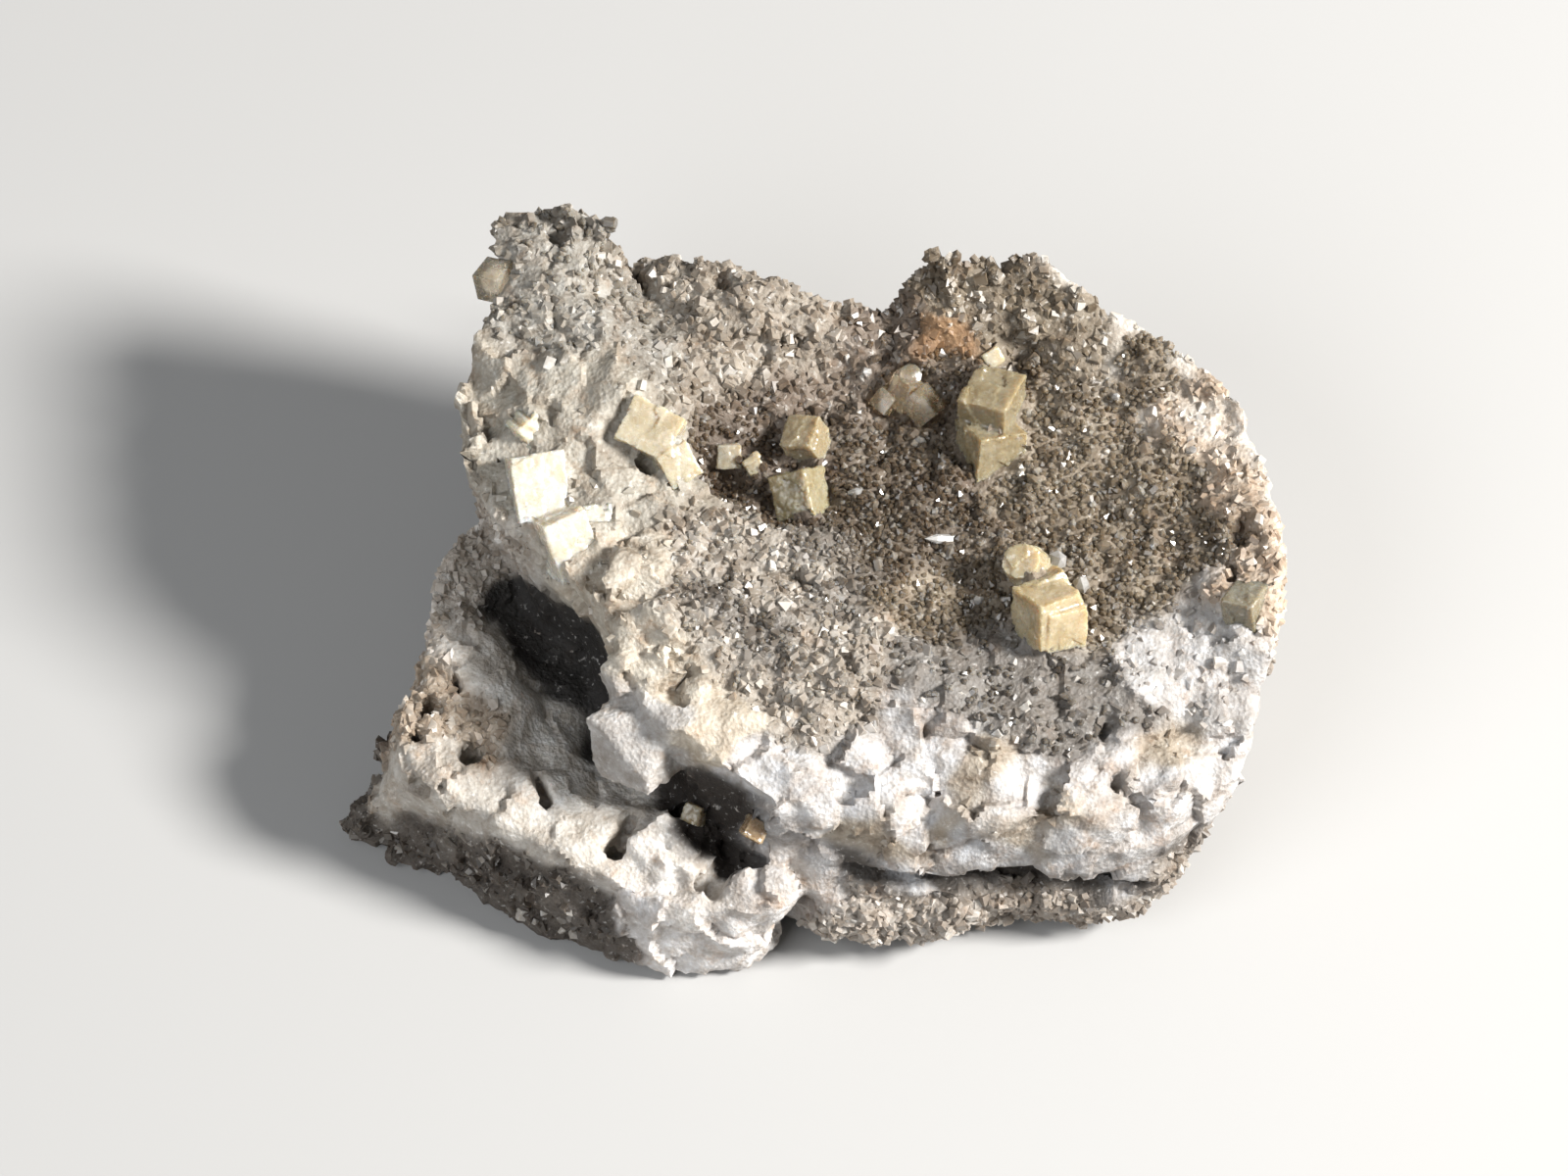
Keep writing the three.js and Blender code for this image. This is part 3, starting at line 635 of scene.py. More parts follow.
def cut_pits(piece):
    """Cuts the small holes and slits."""
    for number, (centre, radii, turn) in enumerate(PITS.values()):
        bpy.ops.object.select_all(action="DESELECT")
        bpy.ops.mesh.primitive_ico_sphere_add(
            subdivisions=2,
            radius=1.0,
            location=Vector(centre) * MM,
            rotation=(PIT_LEAN * math.sin(number), PIT_LEAN * math.cos(number), math.radians(turn)),
            scale=Vector(radii) * MM,
        )
        cutter = bpy.context.object
        apply_modifier(piece, "BOOLEAN", operation="DIFFERENCE", object=cutter, solver="EXACT")
        bpy.data.objects.remove(cutter)


def add_lumps(rock):
    """Joins the higher blocks into the rock, before it is rebuilt."""
    lumps = []
    for centre, size, turn in LUMPS.values():
        bpy.ops.object.select_all(action="DESELECT")
        bpy.ops.mesh.primitive_cube_add(
            size=1.0,
            location=Vector(centre) * MM,
            rotation=[math.radians(angle) for angle in turn],
            scale=Vector(size) * MM,
        )
        bpy.ops.object.transform_apply()
        lumps.append(bpy.context.object)
    select_only(rock)
    for lump in lumps:
        lump.select_set(True)
    bpy.ops.object.join()


def facet_tree(name, size, step, tilt, share, seed):
    """Breaks a surface into flat facets: each cell of a cell pattern is raised and tilted at random."""
    tree, build, incoming, outgoing = geometry_tree(name)
    place = build.add("GeometryNodeInputPosition")
    bent = build.vector("ADD", place, tuple(seed * part for part in FACET_SHIFT))
    wobble = build.vector("SUBTRACT", build.noise(place, size * WOBBLE_SIZE, output="Color"), (0.5, 0.5, 0.5))
    bent = build.vector("ADD", bent, build.scaled(wobble, size * WOBBLE_REACH))
    chance = build.cells(bent, size, "Color")
    centre = build.cells(bent, size, "Position")
    lean = build.vector("SUBTRACT", chance, (0.5, 0.5, 0.5))
    slope = build.vector("DOT_PRODUCT", build.vector("SUBTRACT", bent, centre), lean, output="Value")
    level = build.add("ShaderNodeSeparateXYZ", {"Vector": chance}, "X")
    rise = build.math("MULTIPLY", build.math("SUBTRACT", level, UNRAISED_LEVEL), step)
    height = build.math("ADD", rise, build.math("MULTIPLY", slope, tilt))
    height = build.math("MULTIPLY", height, attribute(build, share))
    edge = build.cells(bent, size, "Distance", "DISTANCE_TO_EDGE")
    seam = build.math("SUBTRACT", 1.0, build.ramp(edge, 0.0, SEAM_WIDTH))
    seam = build.math("MULTIPLY", seam, attribute(build, share))
    build.feed(outgoing, build.kept(build.moved(incoming, height), f"{name} seam", seam))
    return tree


def rough_tree(size, height, share=None):
    """Roughens a surface with noise, fully or as much as the share asks for."""
    tree, build, incoming, outgoing = geometry_tree("Roughen")
    place = build.add("GeometryNodeInputPosition")
    level = build.math("SUBTRACT", build.noise(place, size, detail=4.0, roughness=0.6), MEAN_NOISE)
    level = build.math("MULTIPLY", level, 2 * height)
    if share:
        level = build.math("MULTIPLY", level, attribute(build, share))
    build.feed(outgoing, build.moved(incoming, level))
    return tree


def ridge_tree(direction, spacing, height):
    """Raises parallel ridges on a surface, as on a striped crystal face."""
    tree, build, incoming, outgoing = geometry_tree("Ridges")
    along = build.vector("DOT_PRODUCT", build.add("GeometryNodeInputPosition"), direction, output="Value")
    wave = build.math("SINE", build.math("MULTIPLY", along, math.tau / spacing))
    build.feed(outgoing, build.moved(incoming, build.math("MULTIPLY", wave, height)))
    return tree


def keep_in_box(piece):
    """Keeps every vertex inside the solid's box, so that nothing sinks below the floor."""
    low, high = (np.array(corner, np.float32) for corner in CAD_BOX)
    places = np.clip(vertex_places(piece), low, high)
    piece.data.vertices.foreach_set("co", places.ravel())
    piece.data.update()


def crystal_nodes(clear):
    """Names of the crystal nodes, with or without the clear ones."""
    return [
        subpart["node"]
        for subpart in frame["record"]["subparts"]
        if subpart["node"] != ROCK_NODE and (clear or subpart["material_slot"] != "clear_crystal")
    ]


def crystal_surfaces(names):
    """The faces of these nodes, to measure distances from."""
    corners = []
    faces = []
    for name in names:
        mesh = frame["nodes"][name].data
        start = len(corners)
        corners += [vertex.co.copy() for vertex in mesh.vertices]
        faces += [[start + corner for corner in face.vertices] for face in mesh.polygons]
    return BVHTree.FromPolygons(corners, faces)


def fill_sockets(rock):
    """Joins copies of the cloudy crystals into the rock, so that no gap shows round them."""
    copies = [copy_of_node(name, name) for name in crystal_nodes(clear=False)]
    select_only(rock)
    for piece in copies:
        piece.select_set(True)
    bpy.ops.object.join()


def sink_under_crystals(rock):
    """Pulls the rock's surface under the faces of the crystals that it was joined with."""
    crystals = crystal_surfaces(crystal_nodes(clear=False))
    for vertex in rock.data.vertices:
        place, normal, _, distance = crystals.find_nearest(vertex.co, SINK_REACH)
        if place is None:
            continue
        outside = (vertex.co - place).dot(normal) > 0
        if distance < CRYSTAL_SKIN or not outside:
            vertex.co = place - normal * SINK_DEPTH
    rock.data.update()


def crystal_distance(piece):
    """How far each vertex is from a woodhouseite crystal, up to the reach. Inside a crystal that is 0."""
    crystals = crystal_surfaces(crystal_nodes(clear=True))
    distances = np.full(len(piece.data.vertices), CRYSTAL_REACH, np.float32)
    for vertex in piece.data.vertices:
        place, normal, _, distance = crystals.find_nearest(vertex.co, CRYSTAL_REACH)
        if place is not None:
            outside = (vertex.co - place).dot(normal) > 0
            distances[vertex.index] = distance if outside else 0
    return distances


def mark_room(rock):
    """Stores where points and grains can grow: away from the crystals and from the floor."""
    free = crystal_distance(rock)
    height = vertex_places(rock)[:, 2]
    store(rock, "room", fade(free, *GROWN_ROCK) * fade(height, *HEIGHT_OVER_FLOOR))
    points = np.empty(len(rock.data.vertices), np.float32)
    rock.data.attributes["points"].data.foreach_get("value", points)
    store(rock, "far points", points * fade(free, *ROOM_FOR_LARGE_POINTS))


class SPECIMEN_OT_rock(bpy.types.Operator):
    """Rebuilds the quartz rock as a fine, broken surface."""

    bl_idname = "specimen.rock"
    bl_label = "Rock"

    def execute(self, context):
        sizes = context.scene.specimen_rock
        rock = copy_of_node(ROCK_NODE, "rock")
        cut_pits(rock)
        add_lumps(rock)
        fill_sockets(rock)
        apply_modifier(rock, "REMESH", mode="VOXEL", voxel_size=sizes.voxel, adaptivity=0.0)
        paint_zones(rock)
        blocks = facet_tree("block", sizes.block, sizes.block_step, tilt=0.55, share="blocks", seed=3)
        apply_tree(rock, blocks)
        apply_tree(rock, facet_tree("chip", sizes.chip, sizes.chip_step, tilt=0.6, share="chips", seed=8))
        apply_tree(rock, rough_tree(size=2.2 * MM, height=0.22 * MM, share="open rock"))
        sink_under_crystals(rock)
        keep_in_box(rock)
        mark_room(rock)
        select_only(rock)
        bpy.ops.object.shade_smooth_by_angle(angle=ROCK_EDGE)
        finish_piece(rock, rock_material(), [ROCK_NODE])
        return {"FINISHED"}


# Quartz points and grains

# Parts of a quartz point, as shares of its height
TIP_LENGTH = 0.42
PRISM_LENGTH = 0.7

# How much larger than the others the large points are
LARGE = 1.8

# How far from a grain's middle its corners are cut off, as shares of its size
CUT_DEPTH = (0.36, 0.52)

# How many different grains there are, and how far they are sunk, as a share of their size
GRAIN_SHAPES = 8
GRAIN_SINK = 0.24

# Nothing grows where the share is below the first of these, and all that there is room for above the second.
GROWING_SHARES = (0.2, 0.75)

# How many places are tried in a square as wide as the least distance
CROWDING = 1.2

# Least and greatest size of a shape that is scattered, and the last number that picks one
SIZE_SPREAD = (0.62, 1.3)
LAST_PICK = 99

# Larger glassy crystals that stand alone: place seen from above, width and height, all in millimetres, and
# turns in degrees. They are sunk into the rock by this share of their height.
SINGLES = {
    "long one in the middle": ((10.0, 0.6), (0.7, 2.2), (70, 0, -78)),
    "by the lower clump": ((17.9, -1.5), (1.5, 2.4), (24, 14, 0)),
    "white point beside it": ((19.8, -3.4), (1.2, 2.6), (8, -6, 20)),
    "small one under the clump": ((12.4, -4.6), (0.7, 1.1), (24, -30, 0)),
    "near the middle pair": ((3.4, 4.4), (0.6, 1.2), (40, 20, 60)),
    "on the right slope": ((27.8, 7.2), (0.6, 1.1), (20, 30, 10)),
    "on the upper slope": ((22.4, 11.8), (0.6, 1.2), (34, -20, 40)),
    "over the ochre lump": ((4.4, 14.2), (0.7, 1.3), (30, -24, 0)),
}
SINGLES_SUNK = 0.25

# Where the search for the rock under such a crystal starts, in millimetres, and which way it goes
OVER_ROCK = 60
DOWN = Vector((0, 0, -1))


def quartz_point(width, height, sunk):
    """A six-sided prism with a pointed end. The tip is at its height, less the share of it that is sunk."""
    middle_of_tip = height * (1 - TIP_LENGTH / 2 - sunk)
    bpy.ops.object.select_all(action="DESELECT")
    bpy.ops.mesh.primitive_cone_add(
        vertices=6, radius1=width / 2, radius2=0, depth=height * TIP_LENGTH, location=(0, 0, middle_of_tip)
    )
    point = bpy.context.object
    bpy.ops.object.transform_apply(location=True)
    bpy.ops.object.mode_set(mode="EDIT")
    bpy.ops.mesh.select_all(action="DESELECT")
    bpy.ops.object.mode_set(mode="OBJECT")
    for face in point.data.polygons:
        face.select = len(face.vertices) == 6
    bpy.ops.object.mode_set(mode="EDIT")
    bpy.ops.mesh.select_mode(type="FACE")
    bpy.ops.mesh.extrude_region_move(TRANSFORM_OT_translate={"value": (0, 0, -height * PRISM_LENGTH)})
    bpy.ops.object.mode_set(mode="OBJECT")
    return point


def grain(size, cuts, seed):
    """An angular grain: a block whose corners are cut off at random."""
    draw = random.Random(seed)
    bpy.ops.object.select_all(action="DESELECT")
    bpy.ops.mesh.primitive_cube_add(size=size)
    piece = bpy.context.object
    bpy.ops.object.mode_set(mode="EDIT")
    for _ in range(cuts):
        direction = Vector([draw.uniform(-1, 1) for _ in range(3)]).normalized()
        cut = direction * size * draw.uniform(*CUT_DEPTH)
        bpy.ops.mesh.select_all(action="SELECT")
        bpy.ops.mesh.bisect(plane_co=cut, plane_no=direction, use_fill=True, clear_outer=True)
    bpy.ops.mesh.select_all(action="SELECT")
    bpy.ops.mesh.normals_make_consistent(inside=False)
    bpy.ops.object.mode_set(mode="OBJECT")
    return piece


def scatter_tree(shapes, share, spacing, scales, lean, sink, seed):
    """Sets shapes over a surface, as many as the share asks for, and joins them into one mesh."""
    tree, build, incoming, outgoing = geometry_tree("Scatter")
    grown = build.ramp(attribute(build, share), *GROWING_SHARES)
    spread = tree.nodes.new("GeometryNodeDistributePointsOnFaces")
    spread.distribute_method = "POISSON"
    build.feed_all(
        spread,
        {
            "Mesh": incoming,
            "Distance Min": spacing,
            "Density Max": CROWDING / spacing**2,
            "Density Factor": build.math("MULTIPLY", grown, attribute(build, "room")),
            "Seed": seed,
        },
    )
    turn = build.chance("FLOAT_VECTOR", (-lean, -lean, -math.pi), (lean, lean, math.pi), seed + 1)
    turn = build.add("FunctionNodeEulerToRotation", {0: turn})
    turn = build.add(
        "FunctionNodeRotateRotation", {0: spread.outputs["Rotation"], 1: turn}, rotation_space="LOCAL"
    )
    scale = build.scaled(
        build.chance("FLOAT_VECTOR", *scales, seed + 2), build.chance("FLOAT", *SIZE_SPREAD, seed + 3)
    )
    points = build.kept(spread.outputs["Points"], "tone", build.chance("FLOAT", 0.0, 1.0, seed + 4))
    offset = build.scaled(spread.outputs["Normal"], -sink)
    shape = build.add(
        "GeometryNodeCollectionInfo", {0: shapes, "Separate Children": True}, transform_space="ORIGINAL"
    )
    made = build.add(
        "GeometryNodeInstanceOnPoints",
        {
            "Points": build.add("GeometryNodeSetPosition", {"Geometry": points, "Offset": offset}),
            "Instance": shape,
            "Pick Instance": True,
            "Instance Index": build.chance("INT", 0, LAST_PICK, seed + 5),
            "Rotation": turn,
            "Scale": scale,
        },
    )
    build.feed(outgoing, build.add("GeometryNodeRealizeInstances", {"Geometry": made}))
    return tree


def shape_set(name, shapes):
    """A collection of shapes to scatter, out of the scene."""
    kept = bpy.data.collections.new(name)
    for shape in shapes:
        for collection in list(shape.users_collection):
            collection.objects.unlink(shape)
        kept.objects.link(shape)
    return kept


def scatter(name, shapes, material, **settings):
    """Scatters a set of shapes over the rock as one piece."""
    rock = bpy.data.objects["rock"]
    piece = bpy.data.objects.new(name, rock.data.copy())
    bpy.context.scene.collection.objects.link(piece)
    apply_tree(piece, scatter_tree(shapes, **settings))
    keep_in_box(piece)
    finish_piece(piece, material)


class SPECIMEN_OT_points(bpy.types.Operator):
    """Grows the small quartz points that sparkle on the plate."""

    bl_idname = "specimen.points"
    bl_label = "Quartz points"

    def execute(self, context):
        sizes = context.scene.specimen_points
        shapes = shape_set("quartz point shapes", [quartz_point(sizes.width, sizes.height, sunk=0.45)])
        scatter(
            "quartz_points", shapes, point_material(), share="points", spacing=sizes.spacing,
            scales=((0.7, 0.7, 0.7), (1.1, 1.1, 1.25)), lean=sizes.lean, sink=0.0, seed=SEED + 10,
        )
        large_point = quartz_point(LARGE * sizes.width, LARGE * sizes.height, sunk=0.5)
        large = shape_set("large quartz point shapes", [large_point])
        scatter(
            "large_quartz_points", large, point_material(), share="far points", spacing=sizes.large_spacing,
            scales=((0.5, 0.5, 0.5), (0.9, 0.9, 0.9)), lean=1.1, sink=0.0, seed=SEED + 20,
        )
        return {"FINISHED"}


class SPECIMEN_OT_grains(bpy.types.Operator):
    """Sets the angular quartz grains on the granular parts of the rock."""

    bl_idname = "specimen.grains"
    bl_label = "Quartz grains"

    def execute(self, context):
        sizes = context.scene.specimen_grains
        grains = [grain(sizes.size, cuts=3 + number % 3, seed=number) for number in range(GRAIN_SHAPES)]
        shapes = shape_set("grain shapes", grains)
        scatter(
            "quartz_grains", shapes, grain_material(), share="grains", spacing=sizes.spacing, lean=1.2,
            scales=((0.6, 0.6, 0.6), (1.2, 1.2, 1.1)), sink=GRAIN_SINK * sizes.size, seed=sizes.seed,
        )
        return {"FINISHED"}


class SPECIMEN_OT_singles(bpy.types.Operator):
    """Sets the few larger glassy quartz crystals that stand alone on the plate."""

    bl_idname = "specimen.singles"
    bl_label = "Single quartz crystals"

    def execute(self, context):
        rock = bpy.data.objects["rock"]
        surface = BVHTree.FromPolygons(
            [vertex.co for vertex in rock.data.vertices], [face.vertices for face in rock.data.polygons]
        )
        made = []
        for place, size, turn in SINGLES.values():
            crystal = quartz_point(size[0] * MM, size[1] * MM, SINGLES_SUNK)
            crystal.location = surface.ray_cast(Vector((*place, OVER_ROCK)) * MM, DOWN)[0]
            crystal.rotation_euler = [math.radians(angle) for angle in turn]
            select_only(crystal)
            bpy.ops.object.transform_apply(location=True, rotation=True)
            made.append(crystal)
        select_only(made[0])
        for crystal in made[1:]:
            crystal.select_set(True)
        bpy.ops.object.join()
        made[0].name = "single_quartz_crystals"
        finish_piece(made[0], glass_material())
        return {"FINISHED"}


# The woodhouseite crystals

# Edge of the small cubes that a cloudy crystal's surface is rebuilt from
CRYSTAL_VOXEL = 0.13 * MM

# How wide the edge of a clear crystal is beside that of a cloudy one
CLEAR_EDGE_SHARE = 0.3

# How much lighter or darker than its finish a crystal is, in red, green and blue
CRYSTAL_TINTS = {
    "crystal_clump_upper": (0.62, 0.62, 0.60),
    "crystal_middle_lower": (0.68, 0.70, 0.67),
    "crystal_middle_upper": (0.78, 0.79, 0.82),
    "crystal_slab_ledge": (0.80, 0.765, 0.69),
    "crystal_block_edge": (1.03, 1.04, 1.08),
    "crystal_cube_left": (0.56, 0.54, 0.50),
    "crystal_cube_right": (0.58, 0.53, 0.44),
    "crystal_chip_upper": (0.76, 0.71, 0.62),
    "crystal_cast_first": (0.52, 0.47, 0.38),
    "crystal_cast_second": (0.46, 0.36, 0.27),
    "crystal_rim_right": (0.37, 0.36, 0.32),
    "crystal_striped": (1.05, 1.05, 1.02),
    "crystal_trio_clear": (1.0, 0.88, 0.72),
    "crystal_knob_left": (0.95, 0.89, 0.80),
}

# Ridges on a crystal: the direction across them, their spacing and their height
STRIPES = {"crystal_striped": ((0.55, 0.60, 0.58), 0.8 * MM, 0.09 * MM)}


def crystal_piece(node, edge, worn):
    """A copy of a crystal node with rounded edges and, on worn crystals, slightly uneven faces."""
    piece = copy_of_node(node, node.replace("crystal", "woodhouseite"))
    apply_modifier(piece, "BEVEL", width=edge, segments=2, limit_method="ANGLE", angle_limit=BEVEL_EDGE)
    if worn:
        apply_modifier(piece, "REMESH", mode="VOXEL", voxel_size=CRYSTAL_VOXEL, adaptivity=0.0)
        for name in ("blocks", "chips"):
            store(piece, name, np.ones(len(piece.data.vertices)))
        apply_tree(piece, facet_tree("block", 1.9 * MM, step=0.14 * MM, tilt=0.1, share="blocks", seed=5))
        apply_tree(piece, facet_tree("chip", 0.7 * MM, step=0.04 * MM, tilt=0.12, share="chips", seed=6))
        apply_tree(piece, rough_tree(size=1.5 * MM, height=0.14 * MM))
        apply_tree(piece, rough_tree(size=0.34 * MM, height=0.04 * MM))
    if node in STRIPES:
        apply_tree(piece, ridge_tree(*STRIPES[node]))
    shade = CRYSTAL_TINTS.get(node, (1, 1, 1))
    store(piece, "tint", np.tile(shade, (len(piece.data.vertices), 1)))
    select_only(piece)
    bpy.ops.object.shade_smooth_by_angle(angle=CRYSTAL_EDGE)
    return piece


class SPECIMEN_OT_crystals(bpy.types.Operator):
    """Gives the woodhouseite crystals worn edges and their finish."""

    bl_idname = "specimen.crystals"
    bl_label = "Crystals"

    def execute(self, context):
        looks = context.scene.specimen_crystals
        finishes = {
            "honey_crystal": crystal_material("Honey crystal", looks.honey, clearness=0.2),
            "pale_crystal": crystal_material("Pale crystal", looks.pale, clearness=0.15),
            "clear_crystal": crystal_material("Clear crystal", looks.clear, clearness=0.85),
        }
        for subpart in frame["record"]["subparts"]:
            if subpart["node"] == ROCK_NODE:
                continue
            slot = subpart["material_slot"]
            worn = slot != "clear_crystal"
            edge = looks.edge if worn else CLEAR_EDGE_SHARE * looks.edge
            piece = crystal_piece(subpart["node"], edge, worn)
            finish_piece(piece, finishes[slot], [subpart["node"]])
        return {"FINISHED"}


# Materials

QUARTZ_IOR = 1.55
WOODHOUSEITE_IOR = 1.62


def material_builder(name):
    """A new material with its builder and its shader node."""
    material = bpy.data.materials.new(name)
    material.use_nodes = True
    return material, Builder(material.node_tree), material.node_tree.nodes["Principled BSDF"]


def object_place(build):
    return build.add("ShaderNodeTexCoord", output="Object")


def mesh_value(build, name, output="Fac"):
    return build.add("ShaderNodeAttribute", output=output, attribute_name=name)


def mottle_group():
    """Stains a base colour: broad light and dark patches, fine speckles and iron stain."""
    name = "Mottle"
    if name in bpy.data.node_groups:
        return bpy.data.node_groups[name]
    tree = bpy.data.node_groups.new(name, "ShaderNodeTree")
    for socket, kind in (("Place", "Vector"), ("Colour", "Color"), ("Stain", "Float")):
        tree.interface.new_socket(socket, in_out="INPUT", socket_type=f"NodeSocket{kind}")
    tree.interface.new_socket("Colour", in_out="OUTPUT", socket_type="NodeSocketColor")
    build = Builder(tree)
    place, colour, stain = tree.nodes.new("NodeGroupInput").outputs[:3]
    broad = build.ramp(build.noise(place, 4.2 * MM, detail=4.0, roughness=0.6), 0.38, 0.62)
    colour = build.mix(broad, build.stained(colour, (0.68, 0.655, 0.63)), colour)
    fine = build.ramp(build.noise(place, 0.9 * MM, detail=5.0, roughness=0.7), 0.35, 0.68)
    colour = build.mix(fine, build.stained(colour, (0.62, 0.58, 0.53)), colour)
    speck = build.ramp(build.noise(place, 0.45 * MM, detail=3.0, roughness=0.6), 0.62, 0.74)
    colour = build.mix(build.math("MULTIPLY", speck, 0.45), colour, (0.86, 0.84, 0.8, 1))
    rust = build.ramp(build.noise(place, 2.4 * MM, detail=6.0, roughness=0.72), 0.56, 0.72)
    rust = build.math("MULTIPLY", rust, stain)
    colour = build.mix(rust, colour, build.stained(colour, (0.80, 0.52, 0.30)))
    outgoing = tree.nodes.new("NodeGroupOutput")
    build.feed(outgoing.inputs[0], colour)
    return tree


def mottled(build, place, colour, stain):
    node = build.tree.nodes.new("ShaderNodeGroup")
    node.node_tree = mottle_group()
    build.feed_all(node, {"Place": place, "Colour": colour, "Stain": stain})
    return node.outputs[0]


def cloudy(weight, radius, scale):
    """Shader inputs for light that wanders under the surface."""
    return {"Subsurface Weight": weight, "Subsurface Radius": radius, "Subsurface Scale": scale}


def rock_material():
    """Mottled quartz with rusty seams and a sugary relief."""
    material, build, shader = material_builder("Quartz rock")
    place = object_place(build)
    colour = mottled(build, place, mesh_value(build, "tint", "Color"), stain=0.55)
    seam = build.math("MAXIMUM", mesh_value(build, "block seam"), mesh_value(build, "chip seam"))
    seam = build.math("MULTIPLY", seam, 0.5)
    dull = build.math("SUBTRACT", 0.74, build.math("MULTIPLY", mesh_value(build, "gloss"), 0.36))
    grit = build.noise(place, 0.3 * MM, detail=4.0, roughness=0.7)
    sugar = build.cells(place, 0.34 * MM)
    relief = build.math("ADD", grit, build.math("MULTIPLY", sugar, 0.8))
    build.feed_all(
        shader,
        {
            "Base Color": build.mix(seam, colour, build.stained(colour, (0.60, 0.48, 0.37))),
            "Roughness": build.math("ADD", dull, build.math("MULTIPLY", grit, 0.12)),
            "Normal": build.bump(relief, strength=0.8, distance=0.16 * MM),
            **cloudy(weight=0.4, radius=(1.0, 0.88, 0.76), scale=0.8 * MM),
        },
    )
    return material


def point_material():
    """Small translucent points, a few of them paler."""
    material, build, shader = material_builder("Quartz points")
    tone = mesh_value(build, "tone")
    tint = mesh_value(build, "tint", "Color")
    colour = build.mix(build.ramp(tone, 0.0, 1.0), build.stained(tint, (0.8, 0.78, 0.76)), tint)
    pale = build.math("MULTIPLY", build.ramp(tone, 0.78, 0.98), 0.55)
    colour = build.mix(pale, colour, (0.62, 0.6, 0.56, 1))
    build.feed_all(
        shader,
        {
            "Base Color": mottled(build, object_place(build), colour, stain=0.4),
            "Roughness": 0.16,
            "IOR": QUARTZ_IOR,
            "Transmission Weight": 0.35,
            **cloudy(weight=0.7, radius=(1.0, 0.8, 0.55), scale=0.9 * MM),
        },
    )
    return material


def grain_material():
    """Cloudy grains, each with its own tone."""
    material, build, shader = material_builder("Quartz grains")
    tone = mesh_value(build, "tone")
    tint = mesh_value(build, "tint", "Color")
    colour = build.mix(tone, build.stained(tint, (0.66, 0.62, 0.58)), tint)
    pale = build.math("MULTIPLY", build.ramp(tone, 0.8, 0.98), 0.6)
    colour = build.mix(pale, colour, (0.80, 0.78, 0.74, 1))
    build.feed_all(
        shader,
        {
            "Base Color": mottled(build, object_place(build), colour, stain=0.5),
            "Roughness": 0.4,
            **cloudy(weight=0.4, radius=(1.0, 0.85, 0.7), scale=0.4 * MM),
        },
    )
    return material


def glass_material():
    """Glassy quartz with milky clouds."""
    material, build, shader = material_builder("Glassy quartz")
    cloud = build.ramp(build.noise(object_place(build), 0.6 * MM, detail=3.0, roughness=0.6), 0.4, 0.7)
    build.feed_all(
        shader,
        {
            "Base Color": build.mix(cloud, (0.86, 0.85, 0.83, 1), (0.66, 0.63, 0.58, 1)),
            "Roughness": 0.12,
            "IOR": QUARTZ_IOR,
            "Transmission Weight": 0.6,
        },
    )
    return material


def crystal_material(name, colour, clearness):
    """A waxy crystal with clouds and pale specks."""
    material, build, shader = material_builder(name)
    place = object_place(build)
    cloud = build.ramp(build.noise(place, 2.0 * MM, detail=4.0, roughness=0.6), 0.35, 0.7)
    base = build.stained(mesh_value(build, "tint", "Color"), colour)
    shade = build.mix(cloud, build.stained(base, (0.80, 0.73, 0.60)), base)
    speck = build.ramp(build.noise(place, 0.35 * MM, detail=3.0, roughness=0.6), 0.6, 0.72)
    grit = build.noise(place, 0.5 * MM, detail=4.0, roughness=0.6)
    build.feed_all(
        shader,
        {
            "Base Color": build.mix(build.math("MULTIPLY", speck, 0.35), shade, (0.86, 0.82, 0.72, 1)),
            "Roughness": build.math("ADD", 0.14, build.math("MULTIPLY", grit, 0.25)),
            "IOR": WOODHOUSEITE_IOR,
            "Transmission Weight": clearness,
            "Normal": build.bump(grit, strength=0.5, distance=0.1 * MM),
            **cloudy(weight=0.85, radius=(1.0, 0.74, 0.46), scale=1.8 * MM),
        },
    )
    return material


# Stage

# How far away the camera is, how wide a part of the scene it sees at the specimen, and what it aims at
CAMERA_DISTANCE = 1200 * MM
FRAME_WIDTH = 113.4 * MM
AIM = Vector((-1.7, -3.6, 18.0)) * MM

# Width of the camera's sensor in millimetres, and the nearest thing that it shows
SENSOR_WIDTH = 36
NEAREST_SEEN = 10 * MM

FLOOR_SIZE = 3000 * MM
WORLD_COLOUR = (0.9, 0.92, 0.95, 1)
WORLD_STRENGTH = 0.16

# Lights: place and width in millimetres, and colour
KEY_LIGHT = ((572, -90, 430), 190, (1.0, 0.985, 0.965))
FILL_LIGHT = ((-390, -390, 510), 540, (0.93, 0.96, 1.0))


def towards_aim(place):
    return (AIM - place).to_track_quat("-Z", "Y").to_euler()


def area_light(name, power, place, width, colour):
    """Adds a round light that shines on the specimen."""
    data = bpy.data.lights.new(name, "AREA")
    data.shape = "DISK"
    data.size = width * MM
    data.energy = power
    data.color = colour
    lamp = bpy.data.objects.new(name, data)
    lamp.location = Vector(place) * MM
    lamp.rotation_euler = towards_aim(lamp.location)
    bpy.context.scene.collection.objects.link(lamp)


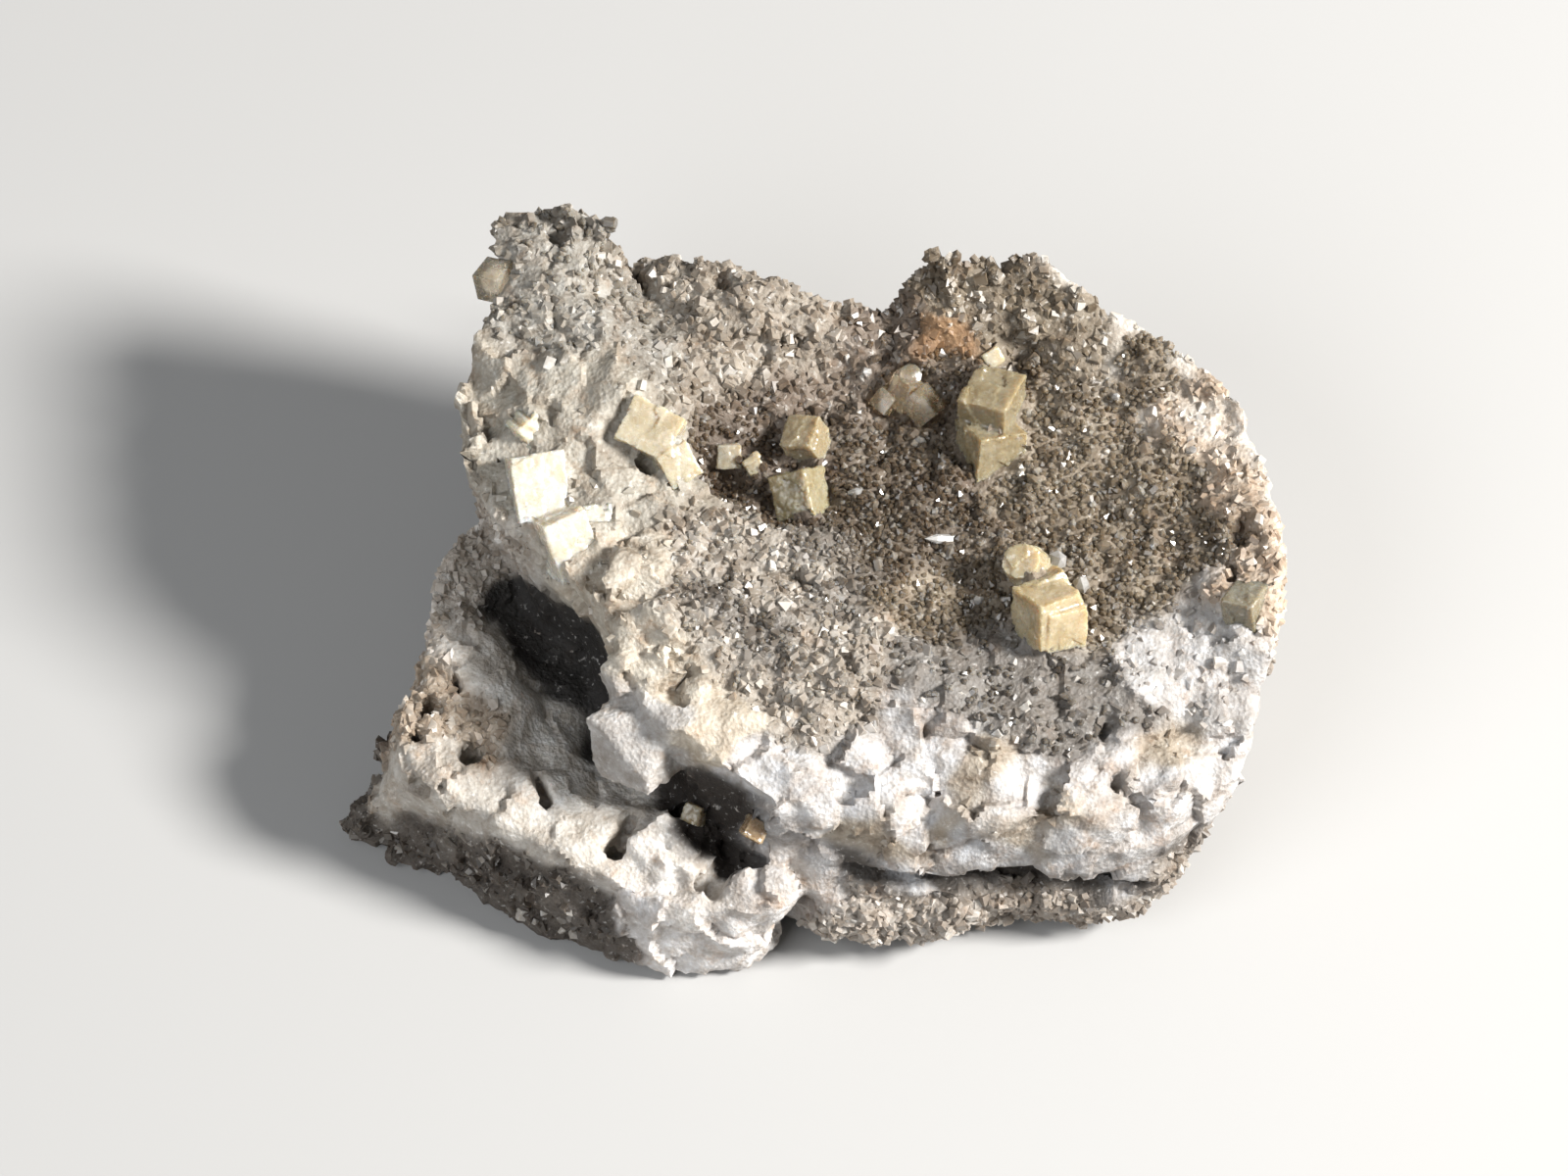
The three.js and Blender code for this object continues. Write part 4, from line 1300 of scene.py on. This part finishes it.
class SPECIMEN_OT_stage(bpy.types.Operator):
    """Adds the floor, the soft studio light and the camera."""

    bl_idname = "specimen.stage"
    bl_label = "Stage"

    def execute(self, context):
        looks = context.scene.specimen_stage
        bpy.ops.object.select_all(action="DESELECT")
        bpy.ops.mesh.primitive_plane_add(size=FLOOR_SIZE, location=(0, 0, 0))
        floor = context.object
        floor.name = "floor"
        material, _, shader = material_builder("Pale floor")
        shader.inputs["Base Color"].default_value = (*looks.floor, 1)
        shader.inputs["Roughness"].default_value = 0.9
        floor.data.materials.append(material)

        area_light("Key light", looks.key, *KEY_LIGHT)
        area_light("Fill light", looks.fill, *FILL_LIGHT)
        world = bpy.data.worlds.new("Studio")
        world.use_nodes = True
        light = world.node_tree.nodes["Background"].inputs
        light["Color"].default_value = WORLD_COLOUR
        light["Strength"].default_value = WORLD_STRENGTH
        context.scene.world = world
        context.scene.view_settings.view_transform = "Standard"

        back = Vector((0, -math.cos(looks.elevation), math.sin(looks.elevation)))
        data = bpy.data.cameras.new("Camera")
        data.sensor_width = SENSOR_WIDTH
        data.lens = SENSOR_WIDTH * CAMERA_DISTANCE / FRAME_WIDTH
        data.clip_start = NEAREST_SEEN
        camera = bpy.data.objects.new("Camera", data)
        camera.location = AIM + back * CAMERA_DISTANCE
        camera.rotation_euler = towards_aim(camera.location)
        context.scene.collection.objects.link(camera)
        context.scene.camera = camera
        return {"FINISHED"}


# Panel and registration


class SPECIMEN_PT_panel(bpy.types.Panel):
    """Lists the settings and the steps of the specimen."""

    bl_label = "Woodhouseite specimen"
    bl_space_type = "VIEW_3D"
    bl_region_type = "UI"
    bl_category = "Specimen"

    def draw(self, context):
        for setting_name, operator in STEPS:
            box = self.layout.box()
            settings = getattr(context.scene, setting_name)
            for name in type(settings).__annotations__:
                box.prop(settings, name)
            box.operator(operator)


SETTINGS = {
    "specimen_rock": RockSettings,
    "specimen_points": PointSettings,
    "specimen_grains": GrainSettings,
    "specimen_crystals": CrystalSettings,
    "specimen_stage": StageSettings,
}
STEPS = (
    ("specimen_rock", "specimen.rock"),
    ("specimen_points", "specimen.points"),
    ("specimen_grains", "specimen.grains"),
    ("specimen_points", "specimen.singles"),
    ("specimen_crystals", "specimen.crystals"),
    ("specimen_stage", "specimen.stage"),
)
CLASSES = (
    *SETTINGS.values(),
    SPECIMEN_OT_rock,
    SPECIMEN_OT_points,
    SPECIMEN_OT_grains,
    SPECIMEN_OT_singles,
    SPECIMEN_OT_crystals,
    SPECIMEN_OT_stage,
    SPECIMEN_PT_panel,
)


def register():
    for each in CLASSES:
        bpy.utils.register_class(each)
    for name, settings in SETTINGS.items():
        setattr(bpy.types.Scene, name, PointerProperty(type=settings))


def unregister():
    for name in SETTINGS:
        delattr(bpy.types.Scene, name)
    for each in reversed(CLASSES):
        bpy.utils.unregister_class(each)


def main():
    register()
    for operator in (
        bpy.ops.specimen.rock,
        bpy.ops.specimen.points,
        bpy.ops.specimen.grains,
        bpy.ops.specimen.singles,
        bpy.ops.specimen.crystals,
        bpy.ops.specimen.stage,
    ):
        operator()


if __name__ == "__main__":
    main()
